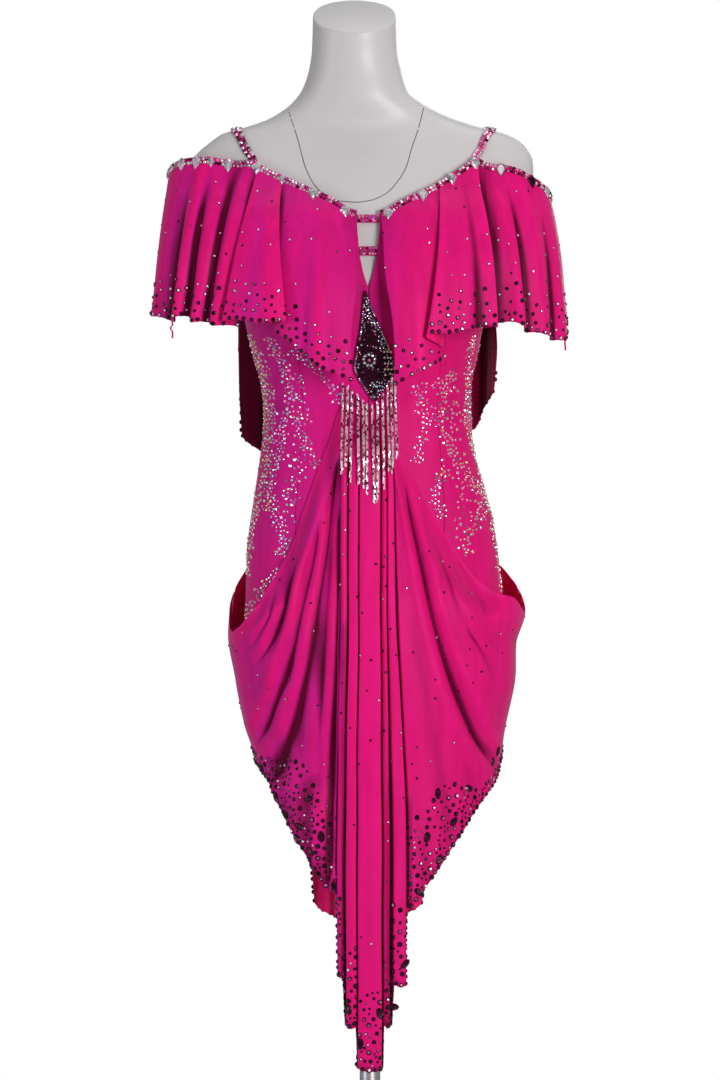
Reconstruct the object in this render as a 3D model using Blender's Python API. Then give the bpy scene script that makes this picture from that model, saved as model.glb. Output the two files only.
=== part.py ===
"""A rumba dance dress on a limbless dress form, in metres with +Z up.

The front faces -Y, and the wearer's left is at +X. The origin is the middle of the base plate's underside,
on the floor. Cloth is a thin wall laid over the figure, or hung clear of it, and every seam is a small gap.
An angle goes round the figure from its front, 0, towards +X.
"""

import math

import bmesh
import bpy
import numpy as np

MM = 0.001

WALL = 1.2 * MM  # the cloth's thickness
SEAM = 0.3 * MM  # between two pieces that are sewn or laid together
FORM_GAP = 2.4 * MM  # from the form to the bodice over it
ARM_GAP = 2.0 * MM  # the bodice stands this much further off the form round the armholes
ARM_EASE = 30 * MM
ON_BODICE = FORM_GAP + WALL + 1.3 * MM  # from the form to what lies on the bodice

FORM_FOOT = 775 * MM
FORM_TOP = 1553 * MM
NECK_RADIUS = 50 * MM
NECK_CAP_DROP = 40 * MM  # the cap's front edge is this much lower than its back edge
CAP_FROM = 1500 * MM  # the rows tilt to the cap's slant from here up
POLE_RADIUS = 14 * MM
BASE_RADIUS = 170 * MM
BASE_THICK = 10 * MM

# Heights that the form and every bodice panel share, so that their facets stay parallel.
LEVELS = np.array([
    795, 850, 900, 950, 1000, 1048, 1092, 1128, 1156, 1180, 1200, 1220, 1240,
]) * MM
SHOULDER_LEVELS = np.array([
    1258, 1276, 1295, 1316, 1338, 1358, 1375, 1388, 1399, 1408, 1415, 1425, 1440, 1460, 1490, 1520,
]) * MM

BUST_OUT, BUST_X, BUST_Z = 27 * MM, 84 * MM, 1226 * MM
BUST_WIDE, BUST_HIGH = 50 * MM, 52 * MM
ROUNDNESS = 0.86  # 1 is an ellipse, and less has fuller corners
STEP_ROUND, STEP_UP = 0.004, 0.5 * MM  # a surface's direction is measured over these

# Level sections of the figure, of the cloth round the arms and of the skirt's cloth, in mm:
# height, centre x, centre y, half-width, depth to the front and depth to the back.
FIGURE = np.array([
    (700, 4, 0, 156, 96, 118),
    (800, 5, 0, 156, 98, 122),
    (839, 5, 0, 154, 100, 125),
    (873, 3.7, 0, 151.5, 100, 124),
    (900, 2.4, 0, 149.5, 99, 120),
    (936, 2, 0, 144.5, 97, 113),
    (976, 0, 0, 136, 95, 102),
    (1016, -2.8, 0, 127.5, 92, 93),
    (1045, -3, 0, 124, 91, 88),
    (1070, -3.2, 0, 123, 92, 87),
    (1098, -4.5, 0, 125, 97, 89),
    (1142, -6, 0, 135, 105, 96),
    (1180, -7, 0, 143, 109, 101),
    (1222, -8, 0, 151, 110, 105),
    (1250, -9, 2, 160, 108, 107),
    (1278, -9, 4, 180, 104, 108),
    (1305, -10, 6, 198, 98, 108),
    (1335, -11, 8, 209, 88, 104),
    (1363, -11.6, 10, 211, 76, 96),
    (1377, -9, 11, 207, 69, 90),
    (1387, -7, 12, 199.5, 63, 85),
    (1397, -5, 12, 189, 58, 79),
    (1408, -7.3, 12, 170, 53, 72),
    (1414, -8, 11, 146, 50, 68),
    (1424, -9.8, 10, 115, 49, 63),
    (1432, -12.8, 9, 98, 50, 60),
    (1442, -15.2, 7, 82, 51, 57),
    (1460, -18.9, 4, 64, 52, 54),
    (1485, -18.3, 0, 56, 53, 53),
    (1509, -18.9, -3, 52, 52, 52),
    (1580, -18.9, -8, 50, 51, 51),
]) * MM
FLOUNCE = np.array([
    (980, -13, 0, 248, 132, 138),
    (1100, -13, 0, 252, 140, 142),
    (1180, -13, 0, 251, 146, 140),
    (1204, -12.7, 0, 249, 147, 138),
    (1253, -13, 0, 245, 143, 132),
    (1302, -14, 0, 238, 128, 124),
    (1342, -15, 4, 230, 108, 114),
    (1380, -12, 6, 224, 92, 106),
]) * MM
SKIRT = np.array([
    (250, 4, 0, 144, 104, 118),
    (450, 5, 0, 143, 112, 128),
    (600, 8, 0, 139.5, 118, 132),
    (643, 9.8, 0, 141.5, 120, 134),
    (692, 6.1, 0, 152, 126, 139),
    (740, 6.5, 0, 161.8, 129, 141),
    (787, 3, 0, 167, 131, 142),
    (826, 9, 0, 172, 129, 141),
    (865, 6.7, 0, 163, 124, 138),
    (889, 3.5, 0, 156, 121, 134),
    (936, 2, 0, 151.5, 114, 123),
    (976, 0, 0, 143, 110, 112),
    (1016, -2.8, 0, 134.5, 106, 103),
    (1045, -3, 0, 131, 104, 98),
    (1090, -4, 0, 130, 104, 97),
]) * MM

# The front neckline in mm: x and height. It meets the straps at both ends.
NECKLINE = np.array([
    (-146, 1369), (-110, 1353), (-85, 1342), (-49, 1326), (-16, 1309),
    (12, 1309), (43, 1324), (82, 1343), (112, 1363), (128, 1373),
]) * MM
# Behind the straps, in degrees and mm: angle, the bodice's top edge, the flounce's right one and left one.
SHOULDER = [
    (46, 1345, 1374, 1373), (56, 1290, 1374, 1369), (70, 1250, 1366, 1357), (90, 1242, 1356, 1345),
    (112, 1250, 1350, 1341), (130, 1290, 1342, 1338), (152, 1332, 1334, 1333), (166, 1316, 1318, 1318),
    (180, 1310, 1312, 1312),
]
# The keyhole between the centre fronts, in mm: height, half-width.
KEYHOLE = np.array([(1219, 0.3), (1235, 6), (1258, 11), (1290, 13.5), (1320, 13.8)]) * MM
KEYHOLE_X = -2 * MM
PRINCESS = np.array([(780, 82), (945, 90), (1070, 80), (1225, 92), (1360, 118)]) * MM  # height, seam's x
SIDE_SEAM = math.radians(112)

# Stations round each sleeve flounce, from the centre front: the angle at the top and at the hem in degrees,
# the hem's height in mm, and how far out the hem stands there. A station that turns back makes a pleat.
RIGHT_FLOUNCE = [
    (1.7, 1.8, 1103, 2), (10.5, 11, 1121, 6), (18.7, 17.9, 1147, 0), (25.8, 25.4, 1166, -13),
    (27.3, 20.3, 1178, 13), (30.5, 30, 1177, 15), (34.6, 40.2, 1177, 11), (35.8, 37, 1172, -12),
    (39.5, 44.2, 1172, 8), (44, 48.5, 1176, -7), (49.5, 52.5, 1178, 8), (54.5, 56.8, 1182, -7),
    (60, 62, 1181, 8), (65, 66.3, 1178, -6), (76, 78, 1182, 5), (90, 90, 1187, 0),
    (103, 103, 1189, -6), (117, 117, 1190, 6), (130, 130, 1190, -6), (142, 143.7, 1186, 3),
]
LEFT_FLOUNCE = [
    (6.3, 10.2, 1098, 2), (13.6, 17.1, 1116, 6), (26.5, 25.1, 1137, -13),
    (27.2, 18.5, 1158, 13), (31, 26.1, 1164, 15), (35.8, 34.4, 1170, 6), (41.5, 40.5, 1169, 12),
    (42.5, 38, 1170, -10), (45, 44.3, 1175, -6), (49, 51.3, 1172, 8), (54, 54.6, 1166, -6),
    (62, 62.6, 1160, 8), (69, 69.4, 1156, -5), (77, 77.4, 1155, 6), (90, 90, 1163, 0),
    (103, 103, 1172, -6), (117, 117, 1180, 6), (128, 128, 1182, -6), (137, 138.25, 1178, 3),
]
CAPE = [
    (137.15, 138.65, 1148, 3), (138.5, 139.6, 1094, 2), (142.5, 142.5, 1072, -5), (146.5, 146.5, 1046, 6),
    (155, 154.5, 1033, -6), (165, 165, 1022, 7), (173, 173, 1008, -6), (181, 181, 1004, 6),
    (190, 190, 1008, -6), (199, 199, 1012, 7), (208, 208, 1020, -5), (216.4, 214.8, 1038, 2),
    (217.85, 215.85, 1156, 3),
]
STAND_OFF = 14 * MM  # the flounce's top edge from the shoulder caps
OPENS, SETTLES_DOWN = 1.2, 2.2  # how the folds open and how the cloth leaves the figure, down the fall

# The drape's top edge. In front, in mm: x and height. Behind, in degrees and mm.
BORDER_FRONT = np.array([
    (-158, 799), (-150, 804), (-139, 817), (-127, 835), (-115, 860), (-90, 910), (-79, 945), (-68, 976),
    (-49, 1028), (-33, 1073), (22, 1073), (32, 1032), (55, 984), (79, 936), (104, 893), (128, 860),
    (149, 843), (164, 838),
]) * MM
BORDER_BEHIND = [  # angle, and the height on the right side and on the left
    (76, 800, 826), (90, 820, 824), (100, 846, 848), (116, 885, 885), (132, 918, 918), (180, 1010, 1010),
]
# The hem in front, in mm: x and height on each side of the pleats. Behind, in degrees and mm.
HEM_FRONT = np.array([
    (-145, 643), (-131, 622), (-114, 594), (-99, 570), (-88, 547), (-77, 533), (-60, 503), (-45, 480),
    (52, 468), (57, 474), (70, 494), (93, 533), (115, 570), (131, 594), (147, 620), (154, 645),
]) * MM
HEM_BEHIND = [(100, 636), (120, 604), (137, 560), (147, 512), (149.5, 466), (160, 450), (180, 415)]
# The long pleats at the centre front, in mm: left edge, right edge, hem's height and how far out they stand.
PLEATS = np.array([
    (-37, -27.5, 378, 13), (-25, -14.5, 317, 14), (-10.5, 15, 265, 16), (17.5, 30.5, 317, 9),
    (33, 45, 368, 14),
]) * MM
HANGS_BELOW = 70 * MM  # the drape leaves the bodice over this height
COWL_FROM, COWL_OVER = 0.62, 0.5  # angles over which the front's top edge leaves the bodice as a cowl
BACK_HANGS_BELOW = 119 * MM
BACK_COWL_TO, BACK_COWL_OVER = math.radians(128), 0.3  # the back's top edge closes on the bodice by here
FAN, FAN_TOP, FAN_OVER = 0.22, 960 * MM, 110 * MM  # the middle columns draw together towards the top
FIRST_GUESS, SETTLES = 900 * MM, 12  # the top edge's height at a column is found in steps
FULL_OUT = 12 * MM  # the drape from its section, between its folds
FOLD_FADE = 40 * MM
OUTER_FROM, OUTER_OVER = 1.2, 0.3  # angles over which the folds give way to the plain side
ROW_PACK = 1.5  # rows are closer towards the drape's top edge
GROOVE_OUT = 3 * MM
SIDE_OUT = 8 * MM  # the skirt's cloth from its section at the side seams
PLEAT_REF = (4 * MM, 150 * MM)  # the skirt's centre and half-width where x names a column
# Columns of the front drape beside the pleats, in mm.
OUTER_COLUMNS = np.array([
    -146, -140, -130, -118, -106, -94, -82, -70, -58, -50, 58, 66, 78, 90, 102, 114, 126, 137, 147, 154,
]) * MM
# Folds of the drape in front: half-width and depth in mm, then the trough's x and height at each knot.
TROUGHS = [
    (9, 12, [(-46, 985), (-53, 910), (-65, 823), (-78, 735), (-96, 660), (-100, 600)]),
    (9, 11, [(-58, 960), (-71, 890), (-87, 811), (-98, 765), (-118, 693), (-130, 655)]),
    (9, 10, [(-85, 892), (-98, 848), (-105, 817), (-127, 765), (-150, 700)]),
    (9, 12, [(45, 960), (54, 922), (64, 873), (74, 817), (87, 765), (104, 690), (112, 630)]),
    (9, 10, [(74, 916), (87, 873), (101, 823), (124, 765), (140, 700)]),
    (8, 8, [(89, 918), (111, 873), (131, 839), (152, 811), (165, 770)]),
]
# Folds of the drape behind: angle and half-width in degrees, and depth in mm.
BACK_FOLDS = [
    (124, 6, 7), (140, 6, 8), (156, 6, 8), (173, 6, 8), (190, 6, 8), (207, 6, 8), (222, 6, 8), (237, 6, 7),
]

# The straps' path in plan, in mm: how far out from the line between them, and y.
STRAP = np.array([(132.5, -48), (147, -27), (157, 2), (152, 34), (132, 70), (103.5, 99.5)]) * MM
STRAP_MIDDLE = -8 * MM
STRAP_WIDTH = 9 * MM
STRAP_OFF = 1.1 * MM
STRAP_STEP = 0.005  # a share of its length, over which its direction is measured

PENDANT = np.array([  # height, half-width
    (1081, 1), (1092, 9), (1106, 18), (1122, 24), (1140, 21), (1165, 13.5), (1190, 7), (1214, 1),
]) * MM
PENDANT_X = (5 * MM, -6 * MM)  # the middle line's x at the lower tip and at the upper one
PENDANT_THICK = 3 * MM
PENDANT_WIDEST = 4  # rows up to the widest one, from which the fringe hangs
FRINGE = np.array([(-33, 993), (-20, 984), (-5, 970), (7, 956), (16, 972), (31, 1008)]) * MM  # x, lower end
BAR_THICK = 2.4 * MM
LOOP_WIDE, LOOP_THICK = 3.4 * MM, 1.6 * MM
BAND_SHARE, BAND_THICK = 0.032, 1.2 * MM  # the band's width, as a share of the fall, and its thickness
FRINGE_THICK = 2.5 * MM
FRINGE_LEAVES = 1081 * MM  # below this height the strands stand off with the pleats
FINGER_LOOPS = [  # name, flounce, side, station and length
    ("finger_loop_right", RIGHT_FLOUNCE, -1, 12, 24 * MM), ("finger_loop_left", LEFT_FLOUNCE, 1, 13, 12 * MM),
]
KEYHOLE_BARS = [("keyhole_bar_upper", 1296 * MM, 1305.5 * MM), ("keyhole_bar_lower", 1256 * MM, 1267 * MM)]


for item in list(bpy.data.objects):
    bpy.data.objects.remove(item, do_unlink=True)


def smooth(at, known, values):
    """A curve through known values that never overshoots them."""
    at, known, values = np.asarray(at, float), np.asarray(known, float), np.asarray(values, float)
    step = np.diff(known)
    slope = np.diff(values) / step
    turn = np.concatenate([slope[:1], np.zeros(len(slope) - 1), slope[-1:]])
    same = slope[:-1] * slope[1:] > 0
    before, after = np.where(same, slope[:-1], 1), np.where(same, slope[1:], 1)
    turn[1:-1] = np.where(same, 2 * before * after / (before + after), 0)
    k = np.clip(np.searchsorted(known, at, side="right") - 1, 0, len(step) - 1)
    t = np.clip((at - known[k]) / step[k], 0, 1)
    ends = (1 + 2 * t) * (1 - t) ** 2 * values[k] + t * t * (3 - 2 * t) * values[k + 1]
    return ends + step[k] * t * (1 - t) * ((1 - t) * turn[k] - t * turn[k + 1])


def ease(t):
    t = np.clip(t, 0, 1)
    return t * t * (3 - 2 * t)


def sizes(table, z):
    """Centre x, centre y, half-width, front depth and back depth of a table's section at a height."""
    return [smooth(z, table[:, 0], table[:, k]) for k in range(1, 6)]


def angle_at(table, x, z):
    """The angle, on the front half, at which a table's section passes x."""
    centre, _, half, _, _ = sizes(table, z)
    return np.arcsin(np.clip((x - centre) / half, -1, 1))


def bare(table, angle, z):
    """Points of a section at an angle and a height; the figure has its bust."""
    angle, z = np.broadcast_arrays(angle, z)
    centre, middle, half, front, back = sizes(table, z)
    across, along = np.sin(angle), np.cos(angle)
    x = centre + half * across
    y = middle - np.where(along > 0, front, -back) * abs(along) ** ROUNDNESS
    if table is FIGURE:
        for side in (-1, 1):
            near = ((x - centre - side * BUST_X) / BUST_WIDE) ** 2 + ((z - BUST_Z) / BUST_HIGH) ** 2
            y = y - BUST_OUT * np.exp(-near) * np.sqrt(np.clip(along, 0, 1))
    return np.stack([x, y, z], axis=-1)


def surface(table, angle, z, out=0.0):
    """The same points moved out along the surface's normal."""
    points = bare(table, angle, z)
    round_it = bare(table, angle + STEP_ROUND, z) - bare(table, angle - STEP_ROUND, z)
    up_it = bare(table, angle, z + STEP_UP) - bare(table, angle, z - STEP_UP)
    normal = np.cross(round_it, up_it)
    normal /= np.linalg.norm(normal, axis=-1, keepdims=True)
    return points + np.asarray(out)[..., None] * normal


FLANK = 0.96  # a share of the half-width, past which nothing is moved forward or back
FOOT_MARGIN = 5 * MM


def clear_of_figure(points, margin):
    """Points moved forward or back where they would come nearer to the figure than the margin."""
    x, y, z = np.moveaxis(points, -1, 0)
    centre, middle, half, _, _ = sizes(FIGURE, z)
    across = (x - centre) / half
    angle = np.arcsin(np.clip(across, -FLANK, FLANK))
    ahead = surface(FIGURE, angle, z, margin)[..., 1]
    behind = surface(FIGURE, math.pi - angle, z, margin)[..., 1]
    kept = np.where(y < middle, np.minimum(y, ahead), np.maximum(y, behind))
    return np.stack([x, np.where((abs(across) < FLANK) & (z > FORM_FOOT - FOOT_MARGIN), kept, y), z], axis=-1)


def material(name, colour, roughness, metallic=0.0):
    made = bpy.data.materials.new(name)
    made.use_nodes = True
    shader = made.node_tree.nodes["Principled BSDF"]
    shader.inputs["Base Color"].default_value = (*colour, 1)
    shader.inputs["Roughness"].default_value = roughness
    shader.inputs["Metallic"].default_value = metallic
    return made


LOOKS = {  # colour, roughness and metallic
    "cloth": ((0.62, 0.01, 0.15), 0.45, 0.0),
    "jewels": ((0.75, 0.78, 0.85), 0.15, 0.3),
    "plaque": ((0.1, 0.02, 0.05), 0.2, 0.3),
    "form": ((0.85, 0.85, 0.86), 0.6, 0.0),
    "metal": ((0.6, 0.6, 0.62), 0.3, 1.0),
}


def add_object(bm, name, look):
    """A named object, with a material of its own, from a bmesh."""
    mesh = bpy.data.meshes.new(name)
    bm.to_mesh(mesh)
    bm.free()
    mesh.shade_smooth()
    made = bpy.data.objects.new(name, mesh)
    bpy.context.collection.objects.link(made)
    mesh.materials.append(material(name, *LOOKS[look]))
    return made


def laid_grid(columns, rows, place):
    """A grid whose points go to place(u, v), with u round the figure and v up it, each from 0 to 1."""
    bm = bmesh.new()
    bmesh.ops.create_grid(bm, x_segments=columns, y_segments=rows, size=0.5)
    at = np.array([vert.co for vert in bm.verts]) + 0.5
    u, v = np.round(at[:, 0] * columns) / columns, np.round(at[:, 1] * rows) / rows
    for vert, point in zip(bm.verts, place(u, v)):
        vert.co = point
    return bm


def cloth(name, columns, rows, place, wall=WALL, look="cloth"):
    """A closed wall that grows outwards from a laid grid."""
    made = add_object(laid_grid(columns, rows, place), name, look)
    solid = made.modifiers.new("Wall", "SOLIDIFY")
    solid.thickness = wall
    solid.offset = 1
    return made


def make_form():
    """The dress form: closed, with a flat foot and a neck cap that slants down to the front."""
    heights = np.concatenate([[FORM_FOOT], LEVELS, SHOULDER_LEVELS, [FORM_TOP]])
    rows = len(heights) - 1

    def place(u, v):
        z = heights[np.round(v * rows).astype(int)]
        points = bare(FIGURE, (2 * u - 1) * math.pi, z)
        slant = NECK_CAP_DROP * points[:, 1] / (2 * NECK_RADIUS)
        points[:, 2] += slant * ease((z - CAP_FROM) / (FORM_TOP - CAP_FROM))
        return points

    bm = laid_grid(48, rows, place)
    bmesh.ops.remove_doubles(bm, verts=bm.verts, dist=0.01 * MM)
    bmesh.ops.holes_fill(bm, edges=[edge for edge in bm.edges if edge.is_boundary])
    bmesh.ops.recalc_face_normals(bm, faces=bm.faces)
    add_object(bm, "form_torso", "form")


def turned(name, radius, low, high, look, segments=48):
    """A round solid that stands on the Z axis."""
    bm = bmesh.new()
    bmesh.ops.create_cone(
        bm, cap_ends=True, segments=segments, radius1=radius, radius2=radius, depth=high - low)
    bmesh.ops.translate(bm, verts=bm.verts, vec=(0, 0, (low + high) / 2))
    made = add_object(bm, name, look)
    made.data.set_sharp_from_angle(angle=math.radians(40))
    return made


def make_stand():
    turned("stand_base", BASE_RADIUS, 0, BASE_THICK, "metal", 64)
    turned("stand_pole", POLE_RADIUS, BASE_THICK + SEAM, FORM_FOOT - SEAM, "metal", 24)


def edge_table(front, behind, table, column=0):
    """Angle and height of an edge all round: the front's x become angles, and both sides share the rest."""
    ahead = [(angle_at(table, x, z), z) for x, z in front]
    right = [(-math.radians(row[0]), row[1] * MM) for row in behind[::-1]]
    left = [(math.radians(row[0]), row[1 + column] * MM) for row in behind]
    return np.array(right + ahead + left)


def edge_height(edge, angle):
    """Height of an edge at an angle, which may be past half a turn."""
    turned_in = (angle + math.pi) % (2 * math.pi) - math.pi
    return smooth(turned_in, edge[:, 0], edge[:, 1])


BODICE_TOP = edge_table(NECKLINE, [(row[0], row[1]) for row in SHOULDER], FIGURE)
FLOUNCE_TOP = edge_table(NECKLINE, [(row[0], row[2], row[3]) for row in SHOULDER], FIGURE, 1)


def bodice_panel(name, columns, upper, from_angle, to_angle):
    """A bodice panel between two seams, each a function of height, with some rows above the shared levels."""
    rows = len(LEVELS) - 1 + upper

    def place(u, v):
        z_top = np.full_like(u, NECKLINE[0, 1])
        for _ in range(SETTLES):
            angle = from_angle(z_top) + u * (to_angle(z_top) - from_angle(z_top))
            z_top = 0.5 * z_top + 0.5 * edge_height(BODICE_TOP, angle)
        z = np.interp(v * rows, range(len(LEVELS)), LEVELS)
        above = v * rows > len(LEVELS) - 1
        z = np.where(above, LEVELS[-1] + (z_top - LEVELS[-1]) * (v * rows - len(LEVELS) + 1) / upper, z)
        angle = from_angle(z) + u * (to_angle(z) - from_angle(z))
        return surface(FIGURE, angle, z, FORM_GAP + ARM_GAP * ease((z - LEVELS[-2]) / ARM_EASE))

    cloth(name, columns, rows, place)


def make_bodice():
    """Centre fronts that part at the keyhole, side fronts past the princess seams, and a back."""
    half_seam = SEAM / 2

    def centre(side):
        def angle(z):
            open_by = np.interp(z, KEYHOLE[:, 0], KEYHOLE[:, 1])
            return angle_at(FIGURE, KEYHOLE_X + side * (open_by + half_seam), z)
        return angle

    def princess(side, shift):
        return lambda z: angle_at(FIGURE, side * (np.interp(z, PRINCESS[:, 0], PRINCESS[:, 1]) + shift), z)

    def side_seam(angle):
        return lambda z: np.full_like(z, angle)

    gap = SEAM / FIGURE[0, 3]
    bodice_panel("bodice_front_right", 6, 4, princess(-1, -half_seam), centre(-1))
    bodice_panel("bodice_front_left", 6, 4, centre(1), princess(1, -half_seam))
    bodice_panel("bodice_side_right", 10, 4, side_seam(-SIDE_SEAM + gap), princess(-1, half_seam))
    bodice_panel("bodice_side_left", 10, 4, princess(1, half_seam), side_seam(SIDE_SEAM - gap))
    bodice_panel("bodice_back", 16, 4, side_seam(SIDE_SEAM + gap), side_seam(2 * math.pi - SIDE_SEAM - gap))


def flounce_places(stations, side, v, u, lift=0.0):
    """Points of a flounce: u runs along its stations and v up from the hem; lift raises them off it."""
    rows = np.array(stations, float)
    along = u * (len(rows) - 1)
    index = np.arange(len(rows))
    top, hem, low, out = (smooth(along, index, rows[:, k]) for k in range(4))
    top, hem, low, out = side * np.radians(top), side * np.radians(hem), low * MM, out * MM
    high = edge_height(FLOUNCE_TOP, top)
    fall = 1 - v
    z = high + fall * (low - high)
    from_front = np.degrees(abs((top + math.pi) % (2 * math.pi) - math.pi))
    shoulder = STAND_OFF * ease((from_front - 41) / 20) * ease((150 - from_front) / 30)
    on_figure = surface(FIGURE, top, high, ON_BODICE + ARM_GAP - SEAM + shoulder + lift)
    angle = top + (hem - top) * fall
    hung = surface(FLOUNCE, angle, z, out * fall ** OPENS + lift)
    start = surface(FLOUNCE, top, high, np.full_like(z, lift))
    fade = ((1 - fall) ** SETTLES_DOWN)[:, None]
    return clear_of_figure(hung + (on_figure - start) * fade, ON_BODICE + lift + np.zeros_like(z))


def make_flounces():
    """The sleeve flounces, with their turned-back pleats, and the longer cape back between them."""
    def placed(stations, side, turn=False):
        return lambda u, v: flounce_places(stations, side, v, 1 - u if turn else u)

    cloth("flounce_right", 2 * (len(RIGHT_FLOUNCE) - 1), 6, placed(RIGHT_FLOUNCE, -1, True))
    cloth("flounce_left", 2 * (len(LEFT_FLOUNCE) - 1), 6, placed(LEFT_FLOUNCE, 1))
    cloth("cape_back", 2 * (len(CAPE) - 1), 6, placed(CAPE, 1))


BORDER = edge_table(BORDER_FRONT, [(a, r) for a, r, _ in BORDER_BEHIND], SKIRT)
BORDER[-len(BORDER_BEHIND):, 1] = [row[2] * MM for row in BORDER_BEHIND]


def pleat_columns():
    """x, hem's height and stand-off at the lips and faces of the long pleats, and in the grooves by them."""
    rows = [(PLEATS[0, 0] - 3 * MM, 480 * MM, GROOVE_OUT)]
    for k, (left, right, hem, out) in enumerate(PLEATS):
        rows.append((left, hem + 4 * MM, out))
        rows.append(((left + right) / 2, hem, out + 1 * MM))
        rows.append((right, hem + 2 * MM, out))
        if k + 1 < len(PLEATS):
            rows.append(((right + PLEATS[k + 1, 0]) / 2, (hem + PLEATS[k + 1, 2]) / 2, GROOVE_OUT))
    rows.append((PLEATS[-1, 1] + 2.5 * MM, 464 * MM, GROOVE_OUT))
    return np.array(rows)


def skirt_columns():
    """The front's columns as angles, with the height of the hem at each."""
    centre, half = PLEAT_REF
    pleats = pleat_columns()
    sides = HEM_FRONT[(HEM_FRONT[:, 0] < pleats[0, 0]) | (HEM_FRONT[:, 0] > pleats[-1, 0])]
    rows = [(math.asin((x - centre) / half), np.interp(x, sides[:, 0], sides[:, 1])) for x in OUTER_COLUMNS]
    rows += [(math.asin((x - centre) / half), z) for x, z, _ in pleats]
    edge = math.radians(HEM_BEHIND[0][0])
    rows += [(-edge, HEM_BEHIND[0][1] * MM), (edge, HEM_BEHIND[0][1] * MM)]
    return np.array(sorted(rows))


def column_angle(column, z):
    """Angle of a column at a height: the middle ones keep their x, and the outer ones their angle."""
    centre, _, half, _, _ = sizes(SKIRT, z)
    across = np.sin(column)
    keep = across ** 2
    fan = 1 - FAN * ease((z - FAN_TOP) / FAN_OVER)
    x = (1 - keep) * (PLEAT_REF[0] + PLEAT_REF[1] * across) * fan + keep * (centre + half * across)
    turned_in = np.arcsin(np.clip((x - centre) / half, -1, 1))
    return np.where(abs(column) < math.pi / 2, turned_in, column)


def drape_out(column, x, z):
    """How far the front drape stands out: pleats at the centre, and folds that run to the hips."""
    pleats = pleat_columns()
    xs = PLEAT_REF[0] + PLEAT_REF[1] * np.sin(column)
    centre = np.interp(xs, pleats[:, 0], pleats[:, 2])
    full = FULL_OUT
    for half, depth, knots in TROUGHS:
        line = np.array(knots[::-1], float) * MM
        middle = np.interp(z, line[:, 1], line[:, 0])
        fade = ease((line[-1, 1] - z) / FOLD_FADE + 1) * ease((z - line[0, 1]) / FOLD_FADE + 1)
        full = full - depth * MM * np.exp(-(((x - middle) / (half * MM)) ** 2)) * fade
    full = np.maximum(full, 0) + (SIDE_OUT - full) * ease((abs(column) - OUTER_FROM) / OUTER_OVER)
    return np.where((xs > pleats[0, 0]) & (xs < pleats[-1, 0]), centre, full)


def make_skirt_front():
    """The front drape, with its pleats and cowls, hung from the bodice."""
    columns = skirt_columns()

    def place(u, v):
        k = np.round(u * (len(columns) - 1)).astype(int)
        column, low = columns[k, 0], columns[k, 1]
        high = np.full_like(u, FIRST_GUESS)
        for _ in range(SETTLES):
            high = 0.5 * high + 0.5 * edge_height(BORDER, column_angle(column, high))
        z = high - (high - low) * (1 - v) ** ROW_PACK
        angle = column_angle(column, z)
        x = bare(SKIRT, angle, z)[:, 0]
        hung = surface(SKIRT, angle, z, drape_out(column, x, z))
        held = ease((high - z) / HANGS_BELOW) + ease((abs(angle) - COWL_FROM) / COWL_OVER)
        margin = np.full_like(z, ON_BODICE + 2 * SEAM)
        laid = surface(FIGURE, angle_at(FIGURE, x, z), z, margin)
        return clear_of_figure(laid + (hung - laid) * np.clip(held, 0, 1)[:, None], margin)

    cloth("skirt_front", len(columns) - 1, 16, place)


def make_skirt_back():
    """The back drape, which meets the front at the side seams."""
    edge = math.radians(HEM_BEHIND[0][0]) + 3 * SEAM / PLEAT_REF[1]

    def place(u, v):
        angle = edge + u * (2 * math.pi - 2 * edge)
        from_front = math.pi - abs(angle - math.pi)
        low = np.interp(np.degrees(from_front), *np.array(HEM_BEHIND).T) * MM
        high = edge_height(BORDER, angle)
        z = high - (high - low) * (1 - v) ** ROW_PACK
        out = SIDE_OUT
        for middle, half, depth in BACK_FOLDS:
            out = out - depth * MM * np.exp(-(((np.degrees(angle) - middle) / half) ** 2))
        held = ease((high - z) / BACK_HANGS_BELOW) + ease((BACK_COWL_TO - from_front) / BACK_COWL_OVER)
        held = np.clip(held, 0, 1)
        margin = np.full_like(z, ON_BODICE)
        laid = surface(FIGURE, angle, z, margin)
        hung = surface(SKIRT, angle, z, out * held)
        return clear_of_figure(laid + (hung - laid) * held[:, None], margin)

    cloth("skirt_back", 24, 16, place)


HALVINGS = 30


def on_shoulder(x, y):
    """The angle and height at which the figure's upper side lies over or under a point of the plan."""
    low, high = np.full_like(x, SHOULDER_LEVELS[2]), np.full_like(x, SHOULDER_LEVELS[12])
    for _ in range(HALVINGS):
        z = (low + high) / 2
        centre, middle, half, front, back = sizes(FIGURE, z)
        depth = np.where(y < middle, front, back)
        outside = ((x - centre) / half) ** 2 + (abs(y - middle) / depth) ** (2 / ROUNDNESS) > 1
        low, high = np.where(outside, low, z), np.where(outside, z, high)
    ahead = np.arcsin(np.clip((x - centre) / half, -1, 1))
    return np.where(y < middle, ahead, np.sign(x) * math.pi - ahead), z


def make_bands():
    """Bands of jewels along the flounce's top edge."""
    bands = {"right": (RIGHT_FLOUNCE, -1), "left": (LEFT_FLOUNCE, 1), "back": (CAPE, 1)}
    for name, (stations, side) in bands.items():

        def place(u, v, stations=stations, side=side):
            high = 1 - BAND_SHARE * (1 - v)
            return flounce_places(stations, side, high, 1 - u if side < 0 else u, WALL + 4 * SEAM)

        cloth("neck_band_" + name, 2 * (len(stations) - 1), 1, place, BAND_THICK, "jewels")


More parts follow.
